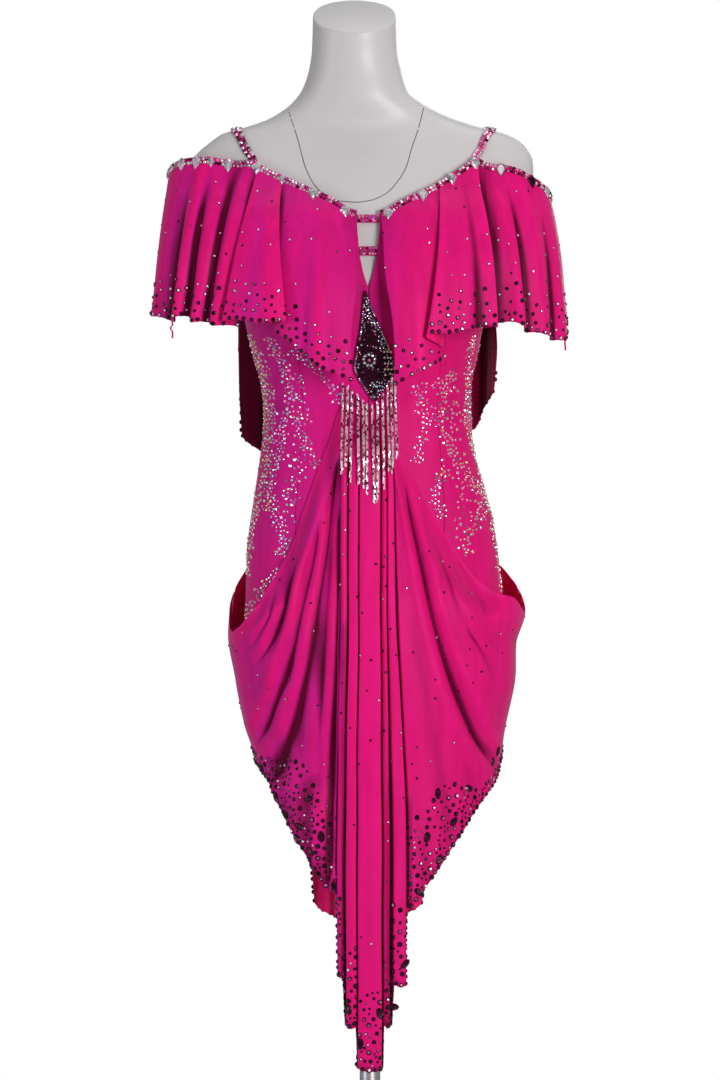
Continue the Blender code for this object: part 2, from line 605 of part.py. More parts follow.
def make_straps():
    """The straps, from the neckline over the shoulders to the back neckline."""
    for name, side in (("strap_right", -1), ("strap_left", 1)):

        def centre(v, side=side):
            knots = np.linspace(0, 1, len(STRAP))
            out, y = (smooth(v, knots, STRAP[:, k]) for k in (0, 1))
            return on_shoulder(STRAP_MIDDLE + side * out, y)

        def place(u, v, centre=centre):
            off = np.full_like(v, STRAP_OFF)
            middle = surface(FIGURE, *centre(v), off)
            ahead = surface(FIGURE, *centre(np.minimum(v + STRAP_STEP, 1)), off)
            ahead -= surface(FIGURE, *centre(np.maximum(v - STRAP_STEP, 0)), off)
            across = np.cross(ahead, middle - bare(FIGURE, *centre(v)))
            across /= np.linalg.norm(across, axis=-1, keepdims=True)
            return middle + ((u - 0.5) * STRAP_WIDTH)[:, None] * across

        cloth(name, 1, 20, place, look="jewels")


def make_finger_loops():
    """A short tail of cloth under each sleeve flounce's hem."""
    for name, stations, side, station, length in FINGER_LOOPS:
        u = np.array([station / (len(stations) - 1)])
        x, y, z = flounce_places(stations, side, np.array([0.0]), u)[0]
        bm = bmesh.new()
        bmesh.ops.create_cube(bm, size=1)
        bmesh.ops.scale(bm, verts=bm.verts, vec=(LOOP_WIDE, LOOP_THICK, length))
        bmesh.ops.translate(bm, verts=bm.verts, vec=(x, y, z - 2 * SEAM - length / 2))
        add_object(bm, name, "cloth")


def make_keyhole_bars():
    """The two jewelled bars across the keyhole."""
    for name, low, high in KEYHOLE_BARS:

        def place(u, v, low=low, high=high):
            z = low + v * (high - low)
            half = np.interp(z, KEYHOLE[:, 0], KEYHOLE[:, 1]) - 2 * SEAM
            angle = angle_at(FIGURE, KEYHOLE_X + (2 * u - 1) * half, z)
            return surface(FIGURE, angle, z, np.full_like(z, FORM_GAP))

        cloth(name, 4, 1, place, BAR_THICK, "jewels")


def pendant_middle(z):
    return np.interp(z, PENDANT[[0, -1], 0], PENDANT_X)


def make_pendant():
    """The plaque over the centre-front seam."""
    def place(u, v):
        z = np.interp(v, np.linspace(0, 1, len(PENDANT)), PENDANT[:, 0])
        x = pendant_middle(z) + (2 * u - 1) * np.interp(z, PENDANT[:, 0], PENDANT[:, 1])
        return surface(FIGURE, angle_at(FIGURE, x, z), z, np.full_like(z, ON_BODICE))

    cloth("pendant_plaque", 4, len(PENDANT) - 1, place, PENDANT_THICK, "plaque")


def make_fringe():
    """The reach of the strands that hang from the pendant's lower rim."""
    lower = PENDANT[:PENDANT_WIDEST]
    rim = [(pendant_middle(z) + side * half, z) for side in (-1, 1) for z, half in lower]
    rim = np.array(sorted(rim + [(FRINGE[0, 0], lower[-1, 0]), (FRINGE[-1, 0], lower[-1, 0])]))

    def place(u, v):
        k = np.round(u * (len(rim) - 1)).astype(int)
        x, high = rim[k, 0], rim[k, 1] - 3 * SEAM
        low = np.interp(x, FRINGE[:, 0], FRINGE[:, 1])
        z = low + v * (high - low)
        laid = surface(FIGURE, angle_at(FIGURE, x, z), z, np.full_like(z, ON_BODICE + 2 * WALL))
        hung = surface(SKIRT, angle_at(SKIRT, x, z), z, np.full_like(z, PLEATS[:, 3].max() + 3 * WALL))
        drop = ease((FRINGE_LEAVES - z) / HANGS_BELOW)[:, None]
        return laid + (hung - laid) * drop

    cloth("fringe", len(rim) - 1, 8, place, FRINGE_THICK, "jewels")


make_form()
make_stand()
make_bodice()
make_flounces()
make_skirt_front()
make_skirt_back()
make_bands()
make_straps()
make_finger_loops()
make_keyhole_bars()
make_pendant()
make_fringe()
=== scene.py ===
"""A rumba dress of hot pink stretch satin on a white dress form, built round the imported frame, in metres."""

import math

import bmesh
import bpy
import numpy as np
from mathutils import Matrix, Vector
from mathutils.bvhtree import BVHTree


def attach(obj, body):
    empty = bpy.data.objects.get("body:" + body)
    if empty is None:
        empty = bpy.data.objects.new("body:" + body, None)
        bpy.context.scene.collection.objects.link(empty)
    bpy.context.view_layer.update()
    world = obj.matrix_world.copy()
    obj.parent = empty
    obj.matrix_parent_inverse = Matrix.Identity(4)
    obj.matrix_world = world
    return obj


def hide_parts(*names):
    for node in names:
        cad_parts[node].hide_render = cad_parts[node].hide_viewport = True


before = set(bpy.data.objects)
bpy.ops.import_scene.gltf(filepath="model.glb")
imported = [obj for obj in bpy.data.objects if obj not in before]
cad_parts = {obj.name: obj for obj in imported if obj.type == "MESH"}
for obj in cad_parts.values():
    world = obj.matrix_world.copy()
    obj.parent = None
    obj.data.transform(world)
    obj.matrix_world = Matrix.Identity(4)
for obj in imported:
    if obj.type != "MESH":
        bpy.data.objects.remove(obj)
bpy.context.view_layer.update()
scene = bpy.context.scene
MM = 0.001


# Studio. The camera stands level, thirty metres in front of the dress, with a very long lens. A large soft light
# stands at the wearer's left, a cooler one at the right, one overhead and one behind. The floor is a pale round sheet.
CAMERA_AT = Vector((-0.0122, -30.0, 0.911))
MM_TO_PIXEL = 1.22  # millimetres of the figure's middle plane to one of the camera's 720 x 1080 pixels
eye = bpy.data.cameras.new("studio_camera")
eye.sensor_width = 36
eye.lens = 36 * -CAMERA_AT.y / (1080 * MM_TO_PIXEL * MM)
camera = bpy.data.objects.new("studio_camera", eye)
camera.location = CAMERA_AT
camera.rotation_euler = (math.radians(90), 0, 0)
scene.collection.objects.link(camera)
scene.camera = camera
scene.view_settings.view_transform = "Standard"


def soft_light(name, at, aim, size, power, colour, spread=180):
    lamp = bpy.data.lights.new(name, "AREA")
    lamp.shape = "RECTANGLE"
    lamp.size, lamp.size_y = size
    lamp.energy = power
    lamp.color = colour
    lamp.spread = math.radians(spread)
    stand = bpy.data.objects.new(name, lamp)
    stand.location = at
    stand.rotation_euler = (Vector(aim) - Vector(at)).to_track_quat("-Z", "Y").to_euler()
    scene.collection.objects.link(stand)


soft_light("key_softbox", (1.7, -3.1, 1.4), (0, 0, 1.2), (0.9, 1.5), 19.5, (1.0, 0.97, 0.97), 90)
soft_light("side_softbox", (-2.7, -1.7, 1.0), (0, 0, 0.8), (0.8, 1.6), 20, (0.96, 0.93, 1.0))
soft_light("top_softbox", (0.2, 0.4, 3.3), (0, 0, 1.1), (1.4, 1.4), 15, (1.0, 1.0, 1.0))
soft_light("back_softbox", (0.6, 3.2, 1.9), (0, 0, 1.0), (1.2, 1.6), 18, (1.0, 0.97, 0.98))

studio_air = bpy.data.worlds.new("studio_air")
studio_air.use_nodes = True
scene.world = studio_air
air = studio_air.node_tree
air.nodes.clear()
air_out = air.nodes.new("ShaderNodeOutputWorld")
air_mix = air.nodes.new("ShaderNodeMixShader")
air_path = air.nodes.new("ShaderNodeLightPath")
for slot_index, (strength, shade) in enumerate(((0.30, (0.97, 0.97, 1.0, 1)), (1.0, (1, 1, 1, 1)))):
    wash = air.nodes.new("ShaderNodeBackground")
    wash.inputs["Color"].default_value = shade
    wash.inputs["Strength"].default_value = strength
    air.links.new(wash.outputs[0], air_mix.inputs[1 + slot_index])
air.links.new(air_path.outputs["Is Camera Ray"], air_mix.inputs[0])
air.links.new(air_mix.outputs[0], air_out.inputs["Surface"])


def new_material(name, roughness, metallic=0.0, **settings):
    """A Principled material; settings are values for its shader's own sockets."""
    made = bpy.data.materials.new(name)
    made.use_nodes = True
    shader = made.node_tree.nodes["Principled BSDF"]
    shader.inputs["Roughness"].default_value = roughness
    shader.inputs["Metallic"].default_value = metallic
    for socket, value in settings.items():
        shader.inputs[socket.replace("_", " ")].default_value = value
    return made, made.node_tree, shader


def node(tree, kind, inputs=None, **settings):
    """A node with its settings; an input is a value, or another node's output."""
    made = tree.nodes.new("ShaderNode" + kind)
    for key, value in settings.items():
        setattr(made, key, value)
    for key, value in (inputs or {}).items():
        if isinstance(value, bpy.types.NodeSocket):
            tree.links.new(value, made.inputs[key])
        else:
            made.inputs[key].default_value = value
    return made


def colour_steps(tree, factor, steps):
    """A colour ramp from a factor, through (position, colour) steps."""
    ramp = node(tree, "ValToRGB", {"Fac": factor})
    marks = ramp.color_ramp.elements
    while len(marks) < len(steps):
        marks.new(0.5)
    for mark, (at, colour) in zip(marks, steps):
        mark.position = at
        mark.color = (*colour, 1)
    return ramp.outputs["Color"]


def shown(bm, name, material, smooth_shade=True):
    """The finished piece from its bmesh, riding on the one body."""
    mesh = bpy.data.meshes.new(name)
    bm.to_mesh(mesh)
    bm.free()
    if smooth_shade:
        mesh.shade_smooth()
    made = bpy.data.objects.new(name, mesh)
    scene.collection.objects.link(made)
    for each in material if isinstance(material, tuple) else (material,):
        mesh.materials.append(each)
    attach(made, "root")
    return made


floor_look, tree, shader = new_material("studio_floor", 0.8)
speckle = node(tree, "TexNoise", {"Scale": 14.0, "Detail": 3.0, "Vector": node(tree, "TexCoord").outputs["Object"]})
tree.links.new(colour_steps(tree, speckle.outputs["Fac"], [(0.3, (0.80, 0.80, 0.80)), (0.7, (0.84, 0.84, 0.84))]),
               shader.inputs["Base Color"])
bm = bmesh.new()
bmesh.ops.create_circle(bm, cap_ends=True, segments=96, radius=1.45)
bmesh.ops.translate(bm, verts=bm.verts, vec=(0, 0, -0.5 * MM))
floor_mesh = bpy.data.meshes.new("studio_floor")
bm.to_mesh(floor_mesh)
bm.free()
floor_mesh.materials.append(floor_look)
floor = bpy.data.objects.new("studio_floor", floor_mesh)
scene.collection.objects.link(floor)


# Dress form. A smooth limbless torso of moulded matt white plastic, with a flat foot and a neck cap that slants
# down to the front. Level sections are lofted into one skin, and the bust is pressed out of it. A fine joint
# line runs round the base of the neck, where the neck insert lifts out.
# Sections in mm: height, centre x, centre y, half-width, depth to the front and depth to the back.
FIGURE = np.array([
    (700, 4, 0, 156, 96, 118), (800, 5, 0, 156, 98, 122), (839, 5, 0, 154, 100, 125),
    (873, 3.7, 0, 151.5, 100, 124), (900, 2.4, 0, 149.5, 99, 120), (936, 2, 0, 144.5, 97, 113),
    (976, 0, 0, 136, 95, 102), (1016, -2.8, 0, 127.5, 92, 93), (1045, -3, 0, 124, 91, 88),
    (1070, -3.2, 0, 123, 92, 87), (1098, -4.5, 0, 125, 97, 89), (1142, -6, 0, 135, 105, 96),
    (1180, -7, 0, 143, 109, 101), (1222, -8, 0, 151, 110, 105), (1250, -9, 2, 160, 108, 107),
    (1278, -9, 4, 180, 104, 108), (1305, -10, 6, 198, 98, 108), (1335, -11, 8, 209, 88, 104),
    (1363, -11.6, 10, 211, 76, 96), (1377, -9, 11, 207, 69, 90), (1387, -7, 12, 199.5, 63, 85),
    (1397, -5, 12, 189, 58, 79), (1408, -7.3, 12, 170, 53, 72), (1414, -8, 11, 146, 50, 68),
    (1424, -9.8, 10, 115, 49, 63), (1432, -12.8, 9, 98, 50, 60), (1442, -15.2, 7, 82, 51, 57),
    (1460, -18.9, 4, 64, 52, 54), (1485, -18.3, 0, 56, 53, 53), (1509, -18.9, -3, 52, 52, 52),
    (1580, -18.9, -8, 50, 51, 51),
]) * MM
FORM_FOOT, FORM_TOP = 775 * MM, 1553 * MM
NECK_CAP_DROP, CAP_DEPTH, CAP_FROM = 40 * MM, 100 * MM, 1500 * MM
CAP_EDGE = 2.5 * MM
BUST_OUT, BUST_X, BUST_Z = 27 * MM, 84 * MM, 1226 * MM
BUST_WIDE, BUST_HIGH = 50 * MM, 52 * MM
ROUNDNESS = 0.86
ROUND_STEP, UP_STEP = 0.004, 0.5 * MM  # how far apart a surface's direction is felt
SAME_POINT = 0.01 * MM


def smooth(at, known, values):
    """A curve through known values that never overshoots them."""
    at, known, values = np.asarray(at, float), np.asarray(known, float), np.asarray(values, float)
    step = np.diff(known)
    slope = np.diff(values) / step
    turn = np.concatenate([slope[:1], np.zeros(len(slope) - 1), slope[-1:]])
    same = slope[:-1] * slope[1:] > 0
    before, after = np.where(same, slope[:-1], 1), np.where(same, slope[1:], 1)
    turn[1:-1] = np.where(same, 2 * before * after / (before + after), 0)
    k = np.clip(np.searchsorted(known, at, side="right") - 1, 0, len(step) - 1)
    t = np.clip((at - known[k]) / step[k], 0, 1)
    ends = (1 + 2 * t) * (1 - t) ** 2 * values[k] + t * t * (3 - 2 * t) * values[k + 1]
    return ends + step[k] * t * (1 - t) * ((1 - t) * turn[k] - t * turn[k + 1])


def ease(t):
    t = np.clip(t, 0, 1)
    return t * t * (3 - 2 * t)


def sizes(table, z):
    return [smooth(z, table[:, 0], table[:, k]) for k in range(1, 6)]


def angle_at(table, x, z):
    """The angle, on the front half, at which a table's section passes x."""
    centre, _, half, _, _ = sizes(table, z)
    return np.arcsin(np.clip((x - centre) / half, -1, 1))


def bare(table, angle, z):
    """Points of a section at an angle, round from the front towards +X, and a height."""
    angle, z = np.broadcast_arrays(angle, z)
    centre, middle, half, front, back = sizes(table, z)
    across, along = np.sin(angle), np.cos(angle)
    x = centre + half * across
    y = middle - np.where(along > 0, front, -back) * abs(along) ** ROUNDNESS
    if table is FIGURE:
        for side in (-1, 1):
            near = ((x - centre - side * BUST_X) / BUST_WIDE) ** 2 + ((z - BUST_Z) / BUST_HIGH) ** 2
            y = y - BUST_OUT * np.exp(-near) * np.sqrt(np.clip(along, 0, 1))
    return np.stack([x, y, z], axis=-1)


def surface(table, angle, z, out=0.0):
    """The same points moved out along the surface's normal."""
    points = bare(table, angle, z)
    round_it = bare(table, angle + ROUND_STEP, z) - bare(table, angle - ROUND_STEP, z)
    up_it = bare(table, angle, z + UP_STEP) - bare(table, angle, z - UP_STEP)
    normal = np.cross(round_it, up_it)
    normal /= np.linalg.norm(normal, axis=-1, keepdims=True)
    return points + np.asarray(out)[..., None] * normal


def laid_grid(columns, rows, place):
    """A grid whose points go to place(u, v), with u round the figure and v up it, each from 0 to 1."""
    bm = bmesh.new()
    bm.loops.layers.uv.new("UVMap")
    bmesh.ops.create_grid(bm, x_segments=columns, y_segments=rows, size=0.5, calc_uvs=True)
    at = np.array([vert.co for vert in bm.verts]) + 0.5
    u, v = np.round(at[:, 0] * columns) / columns, np.round(at[:, 1] * rows) / rows
    for vert, point in zip(bm.verts, place(u, v)):
        vert.co = point
    return bm


form_plastic, tree, shader = new_material("matt_white_plastic", 0.42, Specular_IOR_Level=0.4, Coat_Weight=0.15,
                                          Coat_Roughness=0.35)
object_place = node(tree, "TexCoord").outputs["Object"]
cloudy = node(tree, "TexNoise", {"Scale": 7.0, "Detail": 4.0, "Vector": object_place})
grain = node(tree, "TexNoise", {"Scale": 900.0, "Detail": 2.0, "Vector": object_place})
tree.links.new(colour_steps(tree, cloudy.outputs["Fac"], [(0.3, (0.60, 0.585, 0.585)), (0.7, (0.65, 0.635, 0.635))]),
               shader.inputs["Base Color"])
tree.links.new(node(tree, "Bump", {"Strength": 0.12, "Distance": 0.0003, "Height": grain.outputs["Fac"]}).outputs[0],
               shader.inputs["Normal"])


def form_skin(u, v):
    z = FORM_FOOT + v * (FORM_TOP - FORM_FOOT)
    points = bare(FIGURE, (2 * u - 1) * math.pi, z)
    slant = NECK_CAP_DROP * points[:, 1] / CAP_DEPTH
    points[:, 2] += slant * ease((z - CAP_FROM) / (FORM_TOP - CAP_FROM))
    return points


bm = laid_grid(150, 180, form_skin)
bmesh.ops.remove_doubles(bm, verts=bm.verts, dist=SAME_POINT)
caps = bmesh.ops.holes_fill(bm, edges=[edge for edge in bm.edges if edge.is_boundary])["faces"]
rim = {edge for cap in caps for edge in cap.edges}
bmesh.ops.bevel(bm, geom=list(rim), offset=CAP_EDGE, offset_type="OFFSET", segments=3, profile=0.5, affect="EDGES",
                material=-1)
bmesh.ops.recalc_face_normals(bm, faces=bm.faces)
form = shown(bm, "form_skin", form_plastic)
form.data.set_sharp_from_angle(angle=math.radians(50))
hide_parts("form_torso")

# The joint line's front half in mm: x and height. The back half is the same.
JOINT_LINE = np.array([
    (-100.5, 1438), (-88, 1399), (-78, 1363), (-66, 1341), (-51, 1328), (-37, 1323.5), (-16, 1322), (0, 1324),
    (20, 1333), (34, 1348), (44, 1365), (51, 1389), (58.5, 1411), (66, 1440),
]) * MM
JOINT_WIDE, JOINT_OFF, JOINT_STEP = 1.0 * MM, 0.12 * MM, 0.01
joint_shade, tree, shader = new_material("joint_shadow", 0.7)
dust = node(tree, "TexNoise", {"Scale": 300.0, "Vector": node(tree, "TexCoord").outputs["Object"]})
tree.links.new(colour_steps(tree, dust.outputs["Fac"], [(0.3, (0.05, 0.05, 0.05)), (0.7, (0.12, 0.115, 0.11))]),
               shader.inputs["Base Color"])


def joint_strip(u, v):
    turn = np.where(u < 0.5, 2 * u, 2 - 2 * u)
    knots = np.linspace(0, 1, len(JOINT_LINE))
    x, z = smooth(turn, knots, JOINT_LINE[:, 0]), smooth(turn, knots, JOINT_LINE[:, 1])
    after, before = np.minimum(turn + JOINT_STEP, 1), np.maximum(turn - JOINT_STEP, 0)
    ahead, rise = (smooth(after, knots, JOINT_LINE[:, k]) - smooth(before, knots, JOINT_LINE[:, k]) for k in (0, 1))
    length = np.hypot(ahead, rise)
    x = x - (v - 0.5) * JOINT_WIDE * rise / length
    z = z + (v - 0.5) * JOINT_WIDE * ahead / length
    angle = angle_at(FIGURE, x, z)
    return surface(FIGURE, np.where(u < 0.5, angle, math.pi - angle), z, np.full_like(z, JOINT_OFF))


bm = laid_grid(360, 1, joint_strip)
bmesh.ops.remove_doubles(bm, verts=bm.verts, dist=SAME_POINT)
joint_line = shown(bm, "form_joint_line", joint_shade)


# Stand. A round steel plate with a softened rim, a pole in a collar with a set screw, and a socket under the
# form. Each is one profile turned about the pole's line; the steel is brushed round it.
STAND_PROFILES = {  # radius and height, in mm
    "stand_base": [(0, 0), (168.5, 0), (170, 1.5), (170, 7.5), (167.5, 10), (30, 10), (0, 10)],
    "stand_pole": [(0, 10.3), (23, 10.3), (24, 11.5), (24, 30), (22.5, 32), (12.6, 32.6), (12.6, 738), (17, 738.6),
                   (18.5, 740), (18.5, 773), (17.5, 774.6), (0, 774.6)],
}
SCREW_RADIUS, SCREW_LONG, SCREW_SLOT = 3.2 * MM, 7 * MM, 2 * MM
SCREW_AT = (0, 25.5 * MM, 21 * MM)
STEEL_SHARP = math.radians(32)
steel, tree, shader = new_material("brushed_steel", 0.32, 1.0)
steel_place = node(tree, "TexCoord").outputs["Object"]
drawn = node(tree, "Mapping", {"Vector": steel_place, "Scale": (40.0, 40.0, 900.0)})
brushing = node(tree, "TexNoise", {"Scale": 1.0, "Detail": 3.0, "Vector": drawn.outputs[0]})
smears = node(tree, "TexNoise", {"Scale": 9.0, "Detail": 4.0, "Vector": steel_place})
tree.links.new(colour_steps(tree, brushing.outputs["Fac"], [(0.3, (0.42, 0.42, 0.43)), (0.7, (0.62, 0.62, 0.63))]),
               shader.inputs["Base Color"])
tree.links.new(node(tree, "MapRange", {"Value": smears.outputs["Fac"], "To Min": 0.24, "To Max": 0.44}).outputs[0],
               shader.inputs["Roughness"])
tree.links.new(node(tree, "Bump", {"Strength": 0.1, "Distance": 0.0002, "Height": brushing.outputs["Fac"]}).outputs[0],
               shader.inputs["Normal"])
for name, profile in STAND_PROFILES.items():
    bm = bmesh.new()
    corners = [bm.verts.new((radius * MM, 0, height * MM)) for radius, height in profile]
    rail = [bm.edges.new(pair) for pair in zip(corners, corners[1:])]
    bmesh.ops.spin(bm, geom=corners + rail, cent=(0, 0, 0), axis=(0, 0, 1), angle=2 * math.pi, steps=96, use_merge=True)
    bmesh.ops.remove_doubles(bm, verts=bm.verts, dist=SAME_POINT)
    bmesh.ops.recalc_face_normals(bm, faces=bm.faces)
    turned = shown(bm, name + "_turned", steel)
    turned.data.set_sharp_from_angle(angle=STEEL_SHARP)
    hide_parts(name)
bm = bmesh.new()
bmesh.ops.create_cone(bm, cap_ends=True, segments=18, radius1=SCREW_RADIUS, radius2=SCREW_RADIUS, depth=SCREW_LONG)
bmesh.ops.inset_region(bm, faces=[face for face in bm.faces if face.normal.z > 0.9], thickness=1.2 * MM,
                       depth=-SCREW_SLOT)
bmesh.ops.rotate(bm, verts=bm.verts, matrix=Matrix.Rotation(math.radians(-90), 3, "X"))
bmesh.ops.translate(bm, verts=bm.verts, vec=SCREW_AT)
set_screw = shown(bm, "stand_set_screw", steel)
set_screw.data.set_sharp_from_angle(angle=STEEL_SHARP)


# Bodice. Five panels of stretch satin jersey, pulled smooth over the form: two centre fronts that part at the
# keyhole, two side fronts past the princess seams, and a back. Each panel is a laid grid with a thin wall, and a
# hair's gap between neighbours is the seam. The hidden side of the cloth is its dull, dark reverse.
FORM_GAP, ARM_GAP, ARM_EASE, ARM_FROM = 2.4 * MM, 2.0 * MM, 30 * MM, 1220 * MM
THIN = 0.8 * MM
SEAM = 0.3 * MM
BODICE_FOOT = 795 * MM
# Fold values set how much painted shade a hollow gets and how much painted highlight a ridge gets.
FOLD_REACH, FOLD_SPAN = 9 * MM, 5 * MM  # a fold is judged against the cloth this far to each side of it
BROAD_SHARE, BROAD_REACH = 0.25, 2.5  # how much the wider hollows count, and how much further away they are judged
RIM_FROM, RIM_OVER = 0.74, 0.12  # where up the cloth its pulled edge begins
SLACK = 0.8 * MM  # hollows down the cloth no deeper than this are the figure's, not folds
# The front neckline in mm: x and height. Behind the straps: angle in degrees, the bodice's edge, the flounce's right
# edge and its left one.
NECKLINE = np.array([
    (-146, 1369), (-110, 1353), (-85, 1342), (-49, 1326), (-16, 1309),
    (12, 1309), (43, 1324), (82, 1343), (112, 1363), (128, 1373),
]) * MM
SHOULDER = [
    (46, 1345, 1368, 1366), (56, 1290, 1368, 1360), (70, 1250, 1367, 1348), (90, 1242, 1362, 1335),
    (112, 1250, 1354, 1334), (130, 1290, 1343, 1335), (152, 1332, 1334, 1333), (166, 1316, 1318, 1318),
    (180, 1310, 1312, 1312),
]
KEYHOLE = np.array([(1219, 0.3), (1235, 6), (1258, 11), (1290, 13.5), (1320, 13.8)]) * MM  # height, half-width
KEYHOLE_X = -2 * MM
PRINCESS = np.array([(780, 82), (945, 90), (1070, 80), (1225, 92), (1360, 118)]) * MM  # height, seam's x
SIDE_SEAM = math.radians(112)
PANEL_TOP = 1340 * MM  # where the search for a panel's top edge starts
DRAG_LEAN = 0.12
# Soft drag lines across the waist in mm and degrees: height, angle, half-height, half-width and rise.
DRAG_LINES = [
    (1052, -38, 4, 15, 0.5), (1063, -52, 3.5, 17, 0.6), (1040, -62, 4, 14, 0.5), (1076, 44, 4, 15, 0.5),
    (1049, 58, 3.5, 16, 0.6), (1030, 46, 4, 13, 0.5), (1058, 96, 4, 15, 0.6), (1044, -98, 4, 16, 0.6),
    (1070, 150, 5, 20, 0.6), (1048, 172, 4, 22, 0.7), (1060, 205, 4, 20, 0.6), (1030, 190, 4, 18, 0.5),
]

# The satin's colour. Besides its dye it paints light and shade: a deep valley colour in the hollows of folds is painted
# shade, lighter and warmer ridges are a painted highlight, and soft vertical streaks are painted shade.
jersey = bpy.data.node_groups.new("satin_jersey", "ShaderNodeTree")
for socket, kind, way in (
        ("Colour", "NodeSocketColor", "INPUT"), ("Cool", "NodeSocketColor", "INPUT"),
        ("Painted valley shade", "NodeSocketColor", "INPUT"), ("Knit", "NodeSocketFloat", "INPUT"),
        ("Colour", "NodeSocketColor", "OUTPUT"), ("Roughness", "NodeSocketFloat", "OUTPUT"),
        ("Normal", "NodeSocketVector", "OUTPUT")):
    jersey.interface.new_socket(name=socket, in_out=way, socket_type=kind)
given, result = jersey.nodes.new("NodeGroupInput"), jersey.nodes.new("NodeGroupOutput")
cloth_place = node(jersey, "TexCoord").outputs["Object"]
# The colour turns from hot pink towards cool magenta where the cloth faces the wearer's right, a painted sheen. It also
# turns that way towards the wearer's right side and with a random drift.
facing = node(jersey, "SeparateXYZ", {0: node(jersey, "NewGeometry").outputs["Normal"]}).outputs["X"]
across = node(jersey, "SeparateXYZ", {0: cloth_place}).outputs["X"]
drift = node(jersey, "TexNoise", {"Scale": 5.0, "Detail": 3.0, "Vector": cloth_place}).outputs["Fac"]
lean = node(jersey, "Math", {0: facing, 1: -0.3, 2: 0.33}, operation="MULTIPLY_ADD").outputs[0]
aside = node(jersey, "MapRange", {"Value": across, "From Min": -0.11, "From Max": 0.25, "To Min": 0.21,
                                  "To Max": -0.475}).outputs[0]
lean = node(jersey, "Math", {0: aside, 1: lean}, operation="ADD").outputs[0]
lean = node(jersey, "Math", {0: drift, 1: 0.5, 2: lean}, operation="MULTIPLY_ADD").outputs[0]
# On ridges the colour turns back to hot pink and grows up to 14% lighter, a painted highlight. Towards a valley it is
# mixed into the valley colour, a painted shade.
depth = node(jersey, "Attribute", attribute_name="fold").outputs["Fac"]
painted_ridge_warmth = node(jersey, "MapRange", {"Value": depth, "From Min": 0.5, "To Max": -0.6}).outputs[0]
lean = node(jersey, "Math", {0: painted_ridge_warmth, 1: lean}, operation="ADD").outputs[0]
lean = node(jersey, "MapRange", {"Value": lean, "From Min": 0.35, "From Max": 1.15}).outputs[0]
shot_and_painted_sheen = node(jersey, "MixRGB", {0: lean, 1: given.outputs["Colour"], 2: given.outputs["Cool"]}).outputs[0]
painted_crest_highlight = node(jersey, "MapRange", {"Value": depth, "From Min": 0.5, "To Min": 1.0, "To Max": 1.14}).outputs[0]
depth = node(jersey, "MapRange", {"Value": depth, "From Min": 0.0, "From Max": 0.5}).outputs[0]
dyed_and_painted_shade = node(jersey, "MixRGB", {0: depth, 1: given.outputs["Painted valley shade"], 2: shot_and_painted_sheen}).outputs[0]
mottle = node(jersey, "TexNoise", {"Scale": 60.0, "Detail": 4.0, "Vector": cloth_place}).outputs["Fac"]
shade = node(jersey, "MapRange", {"Value": mottle, "To Min": 0.94, "To Max": 1.06}).outputs[0]
# Long vertical streaks make a fine bump. They also darken and lighten the colour along them, a painted shade.
streak_place = node(jersey, "Mapping", {"Vector": cloth_place, "Scale": (90.0, 90.0, 6.0)}).outputs[0]
streaks = node(jersey, "TexNoise", {"Scale": 1.0, "Detail": 2.0, "Vector": streak_place}).outputs["Fac"]
painted_streak_shade = node(jersey, "MapRange", {"Value": streaks, "From Min": 0.3, "From Max": 0.7, "To Min": 0.92,
                                    "To Max": 1.08}).outputs[0]
shade = node(jersey, "Math", {0: painted_streak_shade, 1: shade}, operation="MULTIPLY").outputs[0]
shade = node(jersey, "Math", {0: painted_crest_highlight, 1: shade}, operation="MULTIPLY").outputs[0]
dyed_and_painted_shade = node(jersey, "VectorMath", {0: dyed_and_painted_shade, 1: shade}, operation="MULTIPLY").outputs[0]
jersey.links.new(dyed_and_painted_shade, result.inputs["Colour"])
sheen_map = node(jersey, "MapRange", {"Value": mottle, "To Min": 0.36, "To Max": 0.5}).outputs[0]
jersey.links.new(sheen_map, result.inputs["Roughness"])
knit_place = node(jersey, "VectorMath", {0: cloth_place, "Scale": given.outputs["Knit"]}, operation="SCALE").outputs[0]
knit = node(jersey, "TexNoise", {"Scale": 1.0, "Detail": 1.0, "Vector": knit_place}).outputs["Fac"]
ribs = node(jersey, "TexWave", {"Scale": 0.35, "Distortion": 1.2, "Vector": knit_place}, bands_direction="X").outputs[
    "Fac"]
loops = node(jersey, "Math", {0: knit, 1: ribs}, operation="ADD").outputs[0]
pulled = node(jersey, "Bump", {"Strength": 0.3, "Distance": 0.0012, "Height": streaks}).outputs[0]
jersey.links.new(node(jersey, "Bump", {"Strength": 0.16, "Distance": 0.0003, "Height": loops, "Normal": pulled})
                 .outputs[0], result.inputs["Normal"])


def jersey_look(name, colour, cool, painted_valley_shade, knit=2200.0, **settings):
    made, tree, shader = new_material(name, 0.42, **settings)
    woven = tree.nodes.new("ShaderNodeGroup")
    woven.node_tree = jersey
    for key, value in (("Colour", colour), ("Cool", cool), ("Painted valley shade", painted_valley_shade)):
        woven.inputs[key].default_value = (*value, 1)
    woven.inputs["Knit"].default_value = knit
    tree.links.new(woven.outputs["Colour"], shader.inputs["Base Color"])
    tree.links.new(woven.outputs["Roughness"], shader.inputs["Roughness"])
    tree.links.new(woven.outputs["Normal"], shader.inputs["Normal"])
    return made


